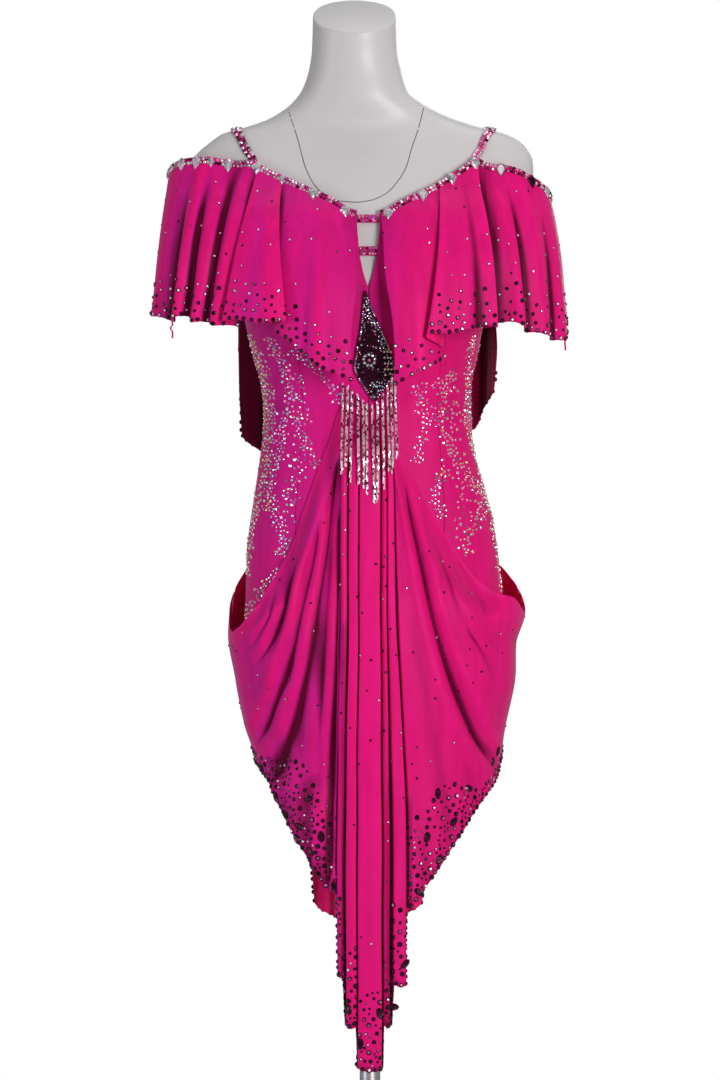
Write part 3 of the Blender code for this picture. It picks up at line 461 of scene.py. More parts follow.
# Each look's colours are its dye, the cool magenta it turns towards, and the painted shade in its fold hollows.
HOT_PINK, MAGENTA, DEEP_MAROON = (0.68, 0.006, 0.165), (0.61, 0.01, 0.27), (0.10, 0.0, 0.018)
satin = jersey_look("hot_pink_satin", HOT_PINK, MAGENTA, DEEP_MAROON, Specular_IOR_Level=0.16,
                    Specular_Tint=(1.0, 0.4, 0.75, 1), Sheen_Weight=0.05, Sheen_Roughness=0.4,
                    Sheen_Tint=(1.0, 0.2, 0.6, 1))
reverse = jersey_look("satin_reverse", (0.90, 0.008, 0.18), (0.30, 0.003, 0.09), (0.30, 0.0, 0.04),
                      Specular_IOR_Level=0.15)
# A darker copy of the reverse for the cape's inside, a painted shade where it lies behind the body.
painted_shade_reverse = jersey_look("satin_reverse_painted_shade", (0.17, 0.001, 0.03), (0.10, 0.001, 0.03), (0.05, 0.0, 0.01),
                           Specular_IOR_Level=0.1)


def mark_folds(bm, columns, rows, farthest, span, rim=0):
    """Gives each point of a laid grid its fold value: 0 in a valley, half on flat cloth and 1 on a ridge. The satin
    paints valleys darker with it, a painted shade, and ridges lighter, a painted highlight. The cloth along a pulled
    upper edge counts as a ridge by the rim's share, so it is painted lighter too."""
    grid = np.array([vert.co[:] for vert in bm.verts]).reshape(rows + 1, columns + 1, 3)
    out = np.cross(np.gradient(grid, axis=1), np.gradient(grid, axis=0))
    out /= np.linalg.norm(out, axis=-1, keepdims=True) + 1e-12
    sunk, sunk_up = np.zeros(grid.shape[:2]), np.zeros(grid.shape[:2])
    upright = (grid.transpose(1, 0, 2), out.transpose(1, 0, 2), sunk_up.T)
    for rows_of, normals_of, levels_of in ((grid, out, sunk), upright):
        for row, normals, level in zip(rows_of, normals_of, levels_of):
            along = np.concatenate([[0], np.cumsum(np.linalg.norm(np.diff(row, axis=0), axis=1))])
            for reach, share in ((farthest / 2, 1), (farthest, 1), (BROAD_REACH * farthest, BROAD_SHARE)):
                sides = [np.stack([np.interp(along + way * reach, along, row[:, k]) for k in range(3)], axis=-1)
                         for way in (-1, 1)]
                level += share * (((sides[0] + sides[1]) / 2 - row) * normals).sum(axis=-1)
    sunk = np.minimum(sunk, 0) + np.maximum(np.maximum(sunk, 0), sunk_up - SLACK)
    pulled_edge = rim * ease((np.arange(rows + 1) / rows - RIM_FROM) / RIM_OVER)
    fold = bm.verts.layers.float.new("fold")
    for vert, level in zip(bm.verts, np.clip(0.5 - sunk / span + pulled_edge[:, None], 0, 1).ravel()):
        vert[fold] = level


cloths = {}


def hang(name, columns, rows, place, replaced, looks=(satin, reverse), wall=THIN,
         folds=(FOLD_REACH, FOLD_SPAN)):
    """A sheet of cloth: a laid grid with its folds marked and a wall that grows outwards."""
    bm = laid_grid(columns, rows, place)
    mark_folds(bm, columns, rows, *folds)
    made = shown(bm, name, looks)
    solid = made.modifiers.new("Wall", "SOLIDIFY")
    solid.thickness = wall
    solid.offset = 1
    solid.material_offset = len(looks) - 1
    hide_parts(*replaced)
    cloths[name] = (made, place)
    return made


def edge_table(front, behind, table, column=0):
    """Angle and height of an edge all round: the front's x become angles, and both sides share the rest."""
    ahead = [(angle_at(table, x, z), z) for x, z in front]
    right = [(-math.radians(row[0]), row[1] * MM) for row in behind[::-1]]
    left = [(math.radians(row[0]), row[1 + column] * MM) for row in behind]
    return np.array(right + ahead + left)


def edge_height(edge, angle):
    turned_in = (angle + math.pi) % (2 * math.pi) - math.pi
    return smooth(turned_in, edge[:, 0], edge[:, 1])


BODICE_TOP = edge_table(NECKLINE, [(row[0], row[1]) for row in SHOULDER], FIGURE)
FLOUNCE_TOP = edge_table(NECKLINE, [(row[0], row[2], row[3]) for row in SHOULDER], FIGURE, 1)


def bodice_panel(name, columns, from_angle, to_angle):
    """A panel between two seams, each a function of height, up to the bodice's top edge."""
    def place(u, v):
        z_top = np.full_like(u, PANEL_TOP)
        for _ in range(12):
            z_top = 0.5 * z_top + 0.5 * edge_height(BODICE_TOP, from_angle(z_top) + u * (
                to_angle(z_top) - from_angle(z_top)))
        z = BODICE_FOOT + v * (z_top - BODICE_FOOT)
        angle = from_angle(z) + u * (to_angle(z) - from_angle(z))
        out = FORM_GAP + ARM_GAP * ease((z - ARM_FROM) / ARM_EASE)
        for height, around, high, wide, rise in DRAG_LINES:
            tilt = z / MM - height - DRAG_LEAN * (np.degrees(angle) - around)
            near = (tilt / high) ** 2 + ((np.degrees(angle) - around) / wide) ** 2
            out = out + rise * MM * np.exp(-near)
        return surface(FIGURE, angle, z, out)

    panel = hang(name + "_panel", columns, 120, place, [name])


def centre_edge(side):
    def angle(z):
        open_by = np.interp(z, KEYHOLE[:, 0], KEYHOLE[:, 1])
        return angle_at(FIGURE, KEYHOLE_X + side * (open_by + SEAM / 2), z)
    return angle


def princess_edge(side, shift):
    return lambda z: angle_at(FIGURE, side * (np.interp(z, PRINCESS[:, 0], PRINCESS[:, 1]) + shift), z)


def side_edge(angle):
    return lambda z: np.full_like(z, angle)


side_gap = SEAM / FIGURE[0, 3]
bodice_panel("bodice_front_right", 50, princess_edge(-1, -SEAM / 2), centre_edge(-1))
bodice_panel("bodice_front_left", 50, centre_edge(1), princess_edge(1, -SEAM / 2))
bodice_panel("bodice_side_right", 70, side_edge(-SIDE_SEAM + side_gap), princess_edge(-1, SEAM / 2))
bodice_panel("bodice_side_left", 70, princess_edge(1, SEAM / 2), side_edge(SIDE_SEAM - side_gap))
bodice_panel("bodice_back", 110, side_edge(SIDE_SEAM + side_gap), side_edge(2 * math.pi - SIDE_SEAM - side_gap))


# Sleeve flounces and cape back. The flounce is cut as part rings of jersey, eased on to the off-shoulder
# neckline, so it falls open in deep folds; two of them turn back on themselves on each side of the front. The
# back is longer, a cape. Each station holds a fold's ridge or valley, and finer ripples run between them.
# Stations from the centre front: degrees at the top and at the hem, the hem's height in mm, and how far out.
RIGHT_FLOUNCE = [
    (1.7, 1.8, 1103, 2), (10.5, 11, 1121, 6), (18.7, 17.9, 1147, 0), (25.8, 25.4, 1166, -13),
    (27.3, 20.3, 1178, 13), (30.5, 30, 1177, 15), (34.6, 40.2, 1177, 11), (35.8, 37, 1172, -12),
    (39.5, 44.2, 1172, 8), (44, 48.5, 1176, -7), (49.5, 52.5, 1178, 8), (54.5, 56.8, 1182, -7),
    (60, 62, 1181, 8), (65, 66.3, 1178, -6), (76, 78, 1182, 5), (90, 90, 1187, 0),
    (103, 103, 1189, -6), (117, 117, 1190, 6), (130, 130, 1190, -6), (142, 143.7, 1186, 3),
]
LEFT_FLOUNCE = [
    (6.3, 10.2, 1098, 2), (13.6, 17.1, 1116, 6), (26.5, 25.1, 1137, -13),
    (27.2, 18.5, 1158, 13), (31, 26.1, 1164, 15), (35.8, 34.4, 1170, 6), (41.5, 40.5, 1169, 12),
    (42.5, 38, 1170, -10), (45, 44.3, 1175, -6), (49, 51.3, 1172, 8), (54, 54.6, 1166, -6),
    (62, 62.6, 1160, 8), (69, 69.4, 1156, -5), (77, 77.4, 1155, 6), (90, 90, 1163, 0),
    (103, 103, 1172, -6), (117, 117, 1180, 6), (128, 128, 1182, -6), (137, 138.25, 1178, 3),
]
CAPE = [
    (137.15, 138.65, 1148, 3), (138.5, 139.6, 1094, 2), (142.5, 142.5, 1072, -5), (146.5, 146.5, 1046, 6),
    (155, 154.5, 1033, -6), (165, 165, 1022, 7), (173, 173, 1008, -6), (181, 181, 1004, 6),
    (190, 190, 1008, -6), (199, 199, 1012, 7), (208, 208, 1020, -5), (216.4, 214.8, 1038, 2),
    (217.85, 215.85, 1156, 3),
]
# Sections of the cloth round the arms in mm: height, centre x, centre y, half-width, front and back depth.
AROUND_ARMS = np.array([
    (980, -13, 0, 248, 132, 138), (1100, -13, 0, 252, 140, 142), (1180, -13, 0, 251, 146, 140),
    (1204, -12.7, 0, 249, 147, 138), (1253, -13, 0, 245, 143, 132), (1302, -14, 0, 238, 128, 124),
    (1342, -15, 4, 230, 108, 114), (1380, -12, 6, 224, 92, 106),
]) * MM
ON_BODICE = 4.9 * MM  # from the form to what lies on the bodice
STAND_OFF = 14 * MM  # the flounce's top edge from the shoulder caps
OPENS, SETTLES_DOWN = 1.2, 2.2
RIPPLES = [(2.7, 0.9, 1.1), (5.3, 2.1, 0.6), (8.9, 4.4, 0.35)]  # per station, phase and depth in mm
FORM_FOOT_MARGIN = 5 * MM
TURNS_AWAY = 0.96  # past this share of the figure's half-width its side is left alone
SHOULDER_FROM, SHOULDER_TO = (41, 20), (150, 30)  # degrees from the front, and over how many it fades
FLOUNCE_ENDS = 0.06
HEM_WAVES = [(2.3, 1, 1.5), (6.1, 0, 0.8)]  # per station, phase and height in mm
EDGE_SWAY = math.radians(0.5)  # the edges beside the keyhole waver by this much
EDGE_WAVE, EDGE_WIDE, EDGE_FROM = 8.5, 1.5, 0.3


def clear_of_figure(points, margin):
    """Points moved forward or back where they would come nearer to the figure than the margin."""
    x, y, z = np.moveaxis(points, -1, 0)
    centre, middle, half, _, _ = sizes(FIGURE, z)
    across = (x - centre) / half
    angle = np.arcsin(np.clip(across, -TURNS_AWAY, TURNS_AWAY))
    ahead = surface(FIGURE, angle, z, margin)[..., 1]
    behind = surface(FIGURE, math.pi - angle, z, margin)[..., 1]
    kept = np.where(y < middle, np.minimum(y, ahead), np.maximum(y, behind))
    beside = (abs(across) < TURNS_AWAY) & (z > FORM_FOOT - FORM_FOOT_MARGIN)
    return np.stack([x, np.where(beside, kept, y), z], axis=-1)


def flounce_places(stations, side, v, u, lift=0.0):
    """Points of a flounce: u runs along its stations and v up from the hem; lift raises them off it."""
    rows = np.array(stations, float)
    along = u * (len(rows) - 1)
    index = np.arange(len(rows))
    top, hem, low, out = (smooth(along, index, rows[:, k]) for k in range(4))
    ends = ease(u / FLOUNCE_ENDS) * ease((1 - u) / FLOUNCE_ENDS)
    for pace, phase, deep in RIPPLES:
        out = out + deep * ends * np.sin(pace * along + phase)
    low = low + ends * sum(deep * np.sin(pace * along + phase) for pace, phase, deep in HEM_WAVES)
    top, hem, low, out = side * np.radians(top), side * np.radians(hem), low * MM, out * MM
    high = edge_height(FLOUNCE_TOP, top)
    fall = 1 - v
    z = high + fall * (low - high)
    from_front = np.degrees(abs((top + math.pi) % (2 * math.pi) - math.pi))
    shoulder = STAND_OFF * ease((from_front - SHOULDER_FROM[0]) / SHOULDER_FROM[1])
    shoulder = shoulder * ease((SHOULDER_TO[0] - from_front) / SHOULDER_TO[1])
    on_figure = surface(FIGURE, top, high, ON_BODICE + ARM_GAP - SEAM + shoulder + lift)
    angle = top + (hem - top) * fall
    sway = EDGE_SWAY * np.sin(EDGE_WAVE * fall + 2 * side) * ease(1 - along / EDGE_WIDE)
    angle = angle + sway * ease(fall / EDGE_FROM)
    hung = surface(AROUND_ARMS, angle, z, out * fall ** OPENS + lift)
    start = surface(AROUND_ARMS, top, high, np.full_like(z, lift))
    fade = ((1 - fall) ** SETTLES_DOWN)[:, None]
    return clear_of_figure(hung + (on_figure - start) * fade, ON_BODICE + lift + np.zeros_like(z))


def flounce_place(stations, side):
    return lambda u, v: flounce_places(stations, side, v, 1 - u if side < 0 else u)


flounce_right = hang("flounce_right_fall", 320, 64, flounce_place(RIGHT_FLOUNCE, -1), ["flounce_right"])
flounce_left = hang("flounce_left_fall", 320, 64, flounce_place(LEFT_FLOUNCE, 1), ["flounce_left"])
cape = hang("cape_back_fall", 200, 76, flounce_place(CAPE, 1), ["cape_back"], (satin, painted_shade_reverse))


# Skirt. One drape of the same jersey, gathered to a point under the pendant. Five long pleats hang from it at the
# centre and end in steps; on each side the cloth sweeps back to the hip and stands open as a cowl. The back
# drape rises to a point behind and closes on the bodice.
SKIRT = np.array([  # level sections, as the figure's
    (250, 4, 0, 144, 104, 118), (450, 5, 0, 143, 112, 128), (600, 8, 0, 139.5, 118, 132),
    (643, 9.8, 0, 141.5, 120, 134), (692, 6.1, 0, 152, 126, 139), (740, 6.5, 0, 161.8, 129, 141),
    (787, 3, 0, 167, 131, 142), (826, 9, 0, 172, 129, 141), (865, 6.7, 0, 163, 124, 138),
    (889, 3.5, 0, 156, 121, 134), (936, 2, 0, 151.5, 114, 123), (976, 0, 0, 143, 110, 112),
    (1016, -2.8, 0, 134.5, 106, 103), (1045, -3, 0, 131, 104, 98), (1090, -4, 0, 130, 104, 97),
]) * MM
# The drape's top edge. In front, in mm: x and height. Behind: degrees, and the height right and left.
BORDER_FRONT = np.array([
    (-158, 799), (-150, 804), (-139, 817), (-127, 835), (-115, 860), (-90, 910), (-79, 945), (-68, 976),
    (-49, 1028), (-33, 1073), (22, 1073), (32, 1032), (55, 984), (79, 936), (104, 893), (128, 860),
    (149, 843), (164, 838),
]) * MM
BORDER_BEHIND = [
    (76, 800, 826), (90, 820, 824), (100, 846, 848), (116, 885, 885), (132, 918, 918), (180, 1010, 1010),
]
# The hem. In front, in mm: x and height on each side of the pleats. Behind: degrees and height.
HEM_FRONT = np.array([
    (-145, 643), (-131, 622), (-114, 594), (-99, 570), (-88, 547), (-77, 533), (-60, 503), (-45, 480),
    (52, 468), (57, 474), (70, 494), (93, 533), (115, 570), (131, 594), (147, 620), (154, 645),
]) * MM
HEM_BEHIND = [(100, 636), (120, 604), (137, 560), (147, 512), (149.5, 466), (160, 450), (180, 415)]
# The long pleats in mm: left edge, right edge, hem's height and how far out they stand.
PLEATS = np.array([
    (-36.5, -31.5, 378, 12), (-26.5, -16.5, 317, 14), (-12.5, 12.5, 265, 16), (17, 22, 317, 12), (29.5, 44, 368, 14),
]) * MM
PLEAT_REF = (4 * MM, 150 * MM)
OUTER_COLUMNS = np.array([
    -146, -140, -130, -118, -106, -94, -82, -70, -58, -50, 58, 66, 78, 90, 102, 114, 126, 137, 147, 154,
]) * MM
HANGS_BELOW, BACK_HANGS_BELOW = 70 * MM, 119 * MM
COWL_FROM, COWL_OVER = 0.62, 0.5
BACK_COWL_TO, BACK_COWL_OVER = math.radians(128), 0.3
FAN_LOW, FAN_HIGH = (0.13, 520 * MM, 340 * MM), (0.12, 960 * MM, 110 * MM)  # how much, from where, over what
# The last pleat narrows upwards: in mm, a height and how far its outer edge comes in there.
LAST_PLEAT_IN = np.array([(500, 3), (594, 3.5), (667, 5.5), (740, 7.5), (838, 10.5), (984, 12), (1060, 9)]) * MM
DRAWN_FROM, DRAWN_TO = (18 * MM, 27 * MM), (105 * MM, 50 * MM)  # x, and over how far the drawing in begins or ends
ROW_PACK = 1.5
GROOVE_OUT, SIDE_OUT, FULL_OUT, SUNK_MOST = 3 * MM, 8 * MM, 12 * MM, 8 * MM
HIGH_IN, HIGH_FROM, HIGH_OVER = 7 * MM, 820 * MM, 160 * MM  # pulled tight, it stands out less near its point
FOLD_FADE = 55 * MM
# RIM_SHARE paints the drape lighter along its top edge, a painted highlight.
DRAPE_REACH, DRAPE_SPAN, RIM_SHARE = 10 * MM, 8 * MM, 0.35
FOLD_START, FOLD_WIDENS = 0.5, 0.95  # a fold's width at its top, and what it gains on the way down
TROUGH_SHAPE = 1.3  # how pointed a trough's floor is
LIP_SHARE, LIP_AT, LIP_WIDE = 0.16, 1.9, 0.8  # the ridge beside a trough, in its depth and its half-widths
SWAY, SWAY_UP, SWAY_ROUND = 1.0 * MM, 31, 40  # the pleats waver by this much, with waves in radians to a metre
SWAY_FROM, SWAY_OVER, SWAY_SIDEWAYS, SWAY_OUT = 1000 * MM, 200 * MM, 0.3, 0.5
RIPPLE, RIPPLE_UP, RIPPLE_ROUND = 0.8 * MM, 22, 190
LIP_BULGE, SEARCH_FROM, SEARCH_ROUNDS = 0.8 * MM, 900 * MM, 14
OUTER_FROM, OUTER_OVER = 1.2, 0.3
# The front's folds: half-width and depth in mm, then the trough's x and height at each knot.
TROUGHS = [
    (13.5, 13, [(-35.2, 1024), (-40.8, 993), (-46.4, 960), (-52.5, 911), (-59.8, 862), (-67.1, 814), (-73.8, 765),
                (-83, 716), (-96.4, 667), (-110, 622), (-124, 590)]),
    (6.5, 10, [(-57, 955), (-61, 936), (-69.5, 887), (-79.3, 838), (-89.1, 789), (-101.3, 740), (-118.3, 692),
              (-133, 645)]),
    (5, 9, [(-78, 930), (-86.6, 887), (-92.7, 862), (-97.6, 838), (-103.7, 814), (-113.5, 789), (-126.9, 765),
              (-150, 746)]),
    (3.6, 6, [(-107, 862), (-111, 838), (-118.3, 814), (-131.8, 789), (-150, 771), (-168, 764)]),
    (4, 3, [(-128, 822), (-140, 806), (-155, 791), (-170, 787)]),
    (6, 8, [(-36, 960), (-36.6, 887), (-39, 814), (-40.9, 740), (-43.3, 667), (-46, 606), (-47, 540), (-48, 470)]),
    (18, 9, [(-46, 930), (-50, 860), (-54, 780), (-58, 700), (-60, 610), (-61, 570)]),
    (7, 11, [(28, 1041), (33, 1022), (41.5, 984), (50, 936), (59.8, 887), (69.5, 838), (81.7, 789), (96.4, 740),
               (115.9, 692), (135.4, 643), (143, 623)]),
    (4, 2, [(74, 958), (76.9, 911), (83, 887), (91.5, 862), (108.6, 814), (133, 765), (149.4, 726)]),
    (4, 2, [(76, 958), (84, 935), (93.9, 911), (106.1, 887), (118.3, 862), (133, 838), (150, 814), (170, 793)]),
    (4, 4, [(154.9, 803), (163.2, 792), (168.8, 770), (166, 739)]),
]
BACK_FOLDS = [
    (124, 5, 8), (140, 6, 8), (156, 5, 9), (173, 6, 8), (190, 5, 9), (207, 6, 8), (222, 5, 8), (237, 6, 7),
    (131.5, 3, 4), (164, 3, 5), (181.5, 3, 4), (198.5, 3, 5), (229, 3, 4),
]
BORDER = edge_table(BORDER_FRONT, [(a, r) for a, r, _ in BORDER_BEHIND], SKIRT)
BORDER[-len(BORDER_BEHIND):, 1] = [row[2] * MM for row in BORDER_BEHIND]

# x, hem's height and stand-off at the lips and faces of the long pleats, and in the grooves by them.
pleat_rows = [(PLEATS[0, 0] - 3 * MM, 480 * MM, GROOVE_OUT)]
for k, (left, right, hem, out) in enumerate(PLEATS):
    pleat_rows += [(left, hem + 4 * MM, out), (left + 2 * MM, hem + 2 * MM, out + LIP_BULGE),
                   ((left + right) / 2, hem, out + 1 * MM), (right - 2 * MM, hem + 1 * MM, out + LIP_BULGE),
                   (right, hem + 2 * MM, out)]
    if k + 1 < len(PLEATS):
        after = PLEATS[k + 1, 0]
        low = min(hem, PLEATS[k + 1, 2]) + 4 * MM
        pleat_rows += [(right + 0.25 * (after - right), low, GROOVE_OUT),
                       (right + 0.75 * (after - right), low, GROOVE_OUT)]
pleat_rows += [(PLEATS[-1, 1] + beyond * MM, 464 * MM, GROOVE_OUT) for beyond in (1.5, 4.5)]
pleat_rows = np.array(pleat_rows)

# The front's columns as angles, with the height of the hem at each.
sides = HEM_FRONT[(HEM_FRONT[:, 0] < pleat_rows[0, 0]) | (HEM_FRONT[:, 0] > pleat_rows[-1, 0])]
front_edge = math.radians(HEM_BEHIND[0][0])
columns = [(math.asin((x - PLEAT_REF[0]) / PLEAT_REF[1]), np.interp(x, sides[:, 0], sides[:, 1]))
           for x in OUTER_COLUMNS]
columns += [(math.asin((x - PLEAT_REF[0]) / PLEAT_REF[1]), z) for x, z, _ in pleat_rows]
columns += [(-front_edge, HEM_BEHIND[0][1] * MM), (front_edge, HEM_BEHIND[0][1] * MM)]
columns = np.array(sorted(columns))


def column_angle(column, z):
    """Angle of a column at a height: the middle ones keep their x, and the outer ones their angle."""
    centre, _, half, _, _ = sizes(SKIRT, z)
    across = np.sin(column)
    keep = across ** 2
    fan = 1 - sum(share * ease((z - start) / over) for share, start, over in (FAN_LOW, FAN_HIGH))
    x = (1 - keep) * (PLEAT_REF[0] + PLEAT_REF[1] * across) * fan + keep * (centre + half * across)
    flat = PLEAT_REF[0] + PLEAT_REF[1] * across
    drawn_in = smooth(z, LAST_PLEAT_IN[:, 0], LAST_PLEAT_IN[:, 1])
    drawn_in = drawn_in * ease((flat - DRAWN_FROM[0]) / DRAWN_FROM[1])
    x = x - drawn_in * ease((DRAWN_TO[0] - flat) / DRAWN_TO[1])
    turned_in = np.arcsin(np.clip((x - centre) / half, -1, 1))
    return np.where(abs(column) < math.pi / 2, turned_in, column)


def drape_out(column, x, z):
    """How far the front drape stands out: pleats at the centre, and folds that run to the hips."""
    xs = PLEAT_REF[0] + PLEAT_REF[1] * np.sin(column)
    sway = SWAY * np.sin(z * SWAY_UP + xs * SWAY_ROUND) * ease((SWAY_FROM - z) / SWAY_OVER)
    centre = smooth(xs + sway * SWAY_SIDEWAYS, pleat_rows[:, 0], pleat_rows[:, 2]) + SWAY_OUT * sway
    full = FULL_OUT + RIPPLE * np.sin(xs * RIPPLE_ROUND + z * RIPPLE_UP) - HIGH_IN * ease((z - HIGH_FROM) / HIGH_OVER)
    for half, deep, knots in TROUGHS:
        line = np.array(knots[::-1], float) * MM
        middle = smooth(z, line[:, 1], line[:, 0])
        fade = ease((line[-1, 1] - z) / FOLD_FADE) * ease((z - line[0, 1]) / FOLD_FADE)
        fallen = np.clip((line[-1, 1] - z) / (line[-1, 1] - line[0, 1]), 0, 1)
        off = (x - middle) / (half * MM * (FOLD_START + FOLD_WIDENS * fallen))
        full = full - deep * MM * fade * np.exp(-abs(off) ** TROUGH_SHAPE)
        full = full + LIP_SHARE * deep * MM * fade * np.exp(-((abs(off) - LIP_AT) / LIP_WIDE) ** 2)
    full = np.maximum(full, -SUNK_MOST)
    full = full + (SIDE_OUT - full) * ease((abs(column) - OUTER_FROM) / OUTER_OVER)
    return np.where((xs > pleat_rows[0, 0]) & (xs < pleat_rows[-1, 0]), centre, full)


def front_drape(u, v):
    along = u * (len(columns) - 1)
    steps = np.arange(len(columns))
    column, low = np.interp(along, steps, columns[:, 0]), smooth(along, steps, columns[:, 1])
    high = np.full_like(u, SEARCH_FROM)
    for _ in range(SEARCH_ROUNDS):
        high = 0.5 * high + 0.5 * edge_height(BORDER, column_angle(column, high))
    z = high - (high - low) * (1 - v) ** ROW_PACK
    angle = column_angle(column, z)
    x = bare(SKIRT, angle, z)[:, 0]
    hung = surface(SKIRT, angle, z, drape_out(column, x, z))
    held = ease((high - z) / HANGS_BELOW) + ease((abs(angle) - COWL_FROM) / COWL_OVER)
    margin = np.full_like(z, ON_BODICE + 2 * SEAM)
    laid = surface(FIGURE, angle_at(FIGURE, x, z), z, margin)
    return clear_of_figure(laid + (hung - laid) * np.clip(held, 0, 1)[:, None], margin)


back_edge = front_edge - 2 * MM / PLEAT_REF[1]  # the side seams are lapped: the back's edge lies under the front's
LAP_UNDER, LAP_WIDE = 1.5 * MM, math.radians(3)
BACK_MIDDLE = 5 * MM  # the back's folds hang straight from this line
LEFT_TUCK = math.radians(7)  # the back hem turns in sooner on the wearer's left
TUCK_FROM, TUCK_OVER = math.radians(135), math.radians(8)
BACK_LEAN, BACK_LEAN_OVER = 0.12, 500 * MM  # the back's folds spread downwards
BACK_SHAPE, BACK_SUNK = 1.7, 2 * MM
BACK_RIPPLE, BACK_RIPPLE_UP, BACK_RIPPLE_ROUND = 0.4 * MM, 17, 21


def back_drape(u, v):
    angle = back_edge + u * (2 * math.pi - 2 * back_edge)
    from_front = math.pi - abs(angle - math.pi)
    tucked = np.where(angle < math.pi, LEFT_TUCK, 0) * ease((from_front - TUCK_FROM) / TUCK_OVER)
    low = smooth(np.degrees(from_front - tucked), *np.array(HEM_BEHIND).T) * MM
    high = edge_height(BORDER, angle)
    z = high - (high - low) * (1 - v) ** ROW_PACK
    out = SIDE_OUT + BACK_RIPPLE * np.sin(angle * BACK_RIPPLE_ROUND + z * BACK_RIPPLE_UP)
    centre, _, wide, _, _ = sizes(SKIRT, z)
    across = np.clip(np.sin(angle) + (centre - BACK_MIDDLE) / wide, -1, 1)
    fold_angle = np.degrees(math.pi - np.arcsin(across))
    for middle, half, deep in BACK_FOLDS:
        lean = middle + (middle - 180) * BACK_LEAN * ease((high - z) / BACK_LEAN_OVER)
        fold = deep * MM * np.exp(-(abs(fold_angle - lean) / half) ** BACK_SHAPE)
        out = out - np.where(abs(angle - math.pi) < math.pi / 2, fold, 0)
    out = np.maximum(out, -BACK_SUNK)
    out = out - LAP_UNDER * (1 - ease((from_front - back_edge) / LAP_WIDE))
    held = ease((high - z) / BACK_HANGS_BELOW) + ease((BACK_COWL_TO - from_front) / BACK_COWL_OVER)
    held = np.clip(held, 0, 1)
    margin = np.full_like(z, ON_BODICE)
    laid = surface(FIGURE, angle, z, margin)
    hung = surface(SKIRT, angle, z, out * held)
    return clear_of_figure(laid + (hung - laid) * held[:, None], margin)


skirt_front = hang("skirt_front_drape", 8 * (len(columns) - 1), 100, front_drape, ["skirt_front"],
                   folds=(DRAPE_REACH, DRAPE_SPAN, RIM_SHARE))
skirt_back = hang("skirt_back_drape", 260, 96, back_drape, ["skirt_back"])
# Painted shade: the front's fold values are lowered where the cloth hangs back in the shade of the pleats and on the
# pleats' shaded sides. They are also lowered a little over the lower drape, more towards the hem, so the colour reads
# deeper there. In mm: from x, to x, their soft edges, top and fade; then how much it sinks, and how far it goes to the
# shaded level.
PAINTED_SHADE_LEVEL = 0.2
PAINTED_DRAPE_SHADE = [
    (-110, -34, 14, 4, 825, 30, 0.19, 0), (-34, -29.5, 3, 3, 840, 40, 0, 0.85), (21, 26, 4, 3, 665, 60, 0, 0.85),
    (44, 50, 4, 4, 640, 60, 0, 0.85), (-130, 130, 5, 5, 760, 360, 0.07, 0), (-130, -34, 5, 4, 620, 60, 0.08, 0),
]
places = np.array([vert.co[:] for vert in skirt_front.data.vertices]) / MM
levels = np.array([value.value for value in skirt_front.data.attributes["fold"].data])
for left, right, soft_left, soft_right, top, fade, less, share in PAINTED_DRAPE_SHADE:
    x, height = places[:, 0], places[:, 2]
    beside = ease((x - left + soft_left) / soft_left) * ease((right + soft_right - x) / soft_right)
    mask = beside * ease((top - height) / fade) * (places[:, 1] < 0)
    levels = np.maximum(levels - less * mask, 0)
    levels -= share * mask * np.maximum(levels - PAINTED_SHADE_LEVEL, 0)
for value, level in zip(skirt_front.data.attributes["fold"].data, levels):
    value.value = level


# Finger loops. A thin cord of the dress's cloth hangs from each sleeve flounce's hem, to go over a finger; the
# right one has a curl in it. Each is a round cord swept along its own line.
FINGER_LOOPS = {  # flounce, side, station, and the cord's line from the hem in mm: x, y and drop
    "finger_loop_right": (RIGHT_FLOUNCE, -1, 12, [
        (0, 0, -1), (0.4, 0.3, 3), (0.8, 0, 7), (-1.2, -0.4, 10), (-1.6, 0.4, 12.5), (0.6, 0.6, 15), (0.8, 0, 19),
        (0.2, -0.3, 24)]),
    "finger_loop_left": (LEFT_FLOUNCE, 1, 13, [(0, 0, -1), (-0.3, 0.2, 3), (0.1, 0, 7), (0.3, -0.2, 12)]),
}
LOOP_RADIUS = 1.1 * MM
LOOP_END, LOOP_ROUNDS = 0.96, 0.04  # the cord's tip is rounded over its last part
for name, (stations, side, station, line) in FINGER_LOOPS.items():
    start = flounce_places(stations, side, np.array([0.0]), np.array([station / (len(stations) - 1)]))[0]
    line = np.array(line, float)

    def cord_skin(u, v, line=line, start=start):
        knots = np.linspace(0, 1, len(line))
        x, y, drop = (smooth(v, knots, line[:, k]) * MM for k in range(3))
        tip = np.sqrt(np.clip(1 - ((v - LOOP_END) / LOOP_ROUNDS) ** 2, 0.02, 1))
        swell = LOOP_RADIUS * np.where(v > LOOP_END, tip, 1)
        turn = -2 * math.pi * u
        return np.stack([start[0] + x + swell * np.cos(turn), start[1] + y + swell * np.sin(turn),
                         start[2] - drop], axis=-1)

    bm = laid_grid(10, 40, cord_skin)
    bmesh.ops.remove_doubles(bm, verts=bm.verts, dist=SAME_POINT)
    bmesh.ops.holes_fill(bm, edges=[edge for edge in bm.edges if edge.is_boundary])
    bmesh.ops.recalc_face_normals(bm, faces=bm.faces)
    mark = bm.verts.layers.float.new("fold")
    for vert in bm.verts:
        vert[mark] = 0.5
    tail = shown(bm, name + "_cord", satin)
    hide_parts(name)


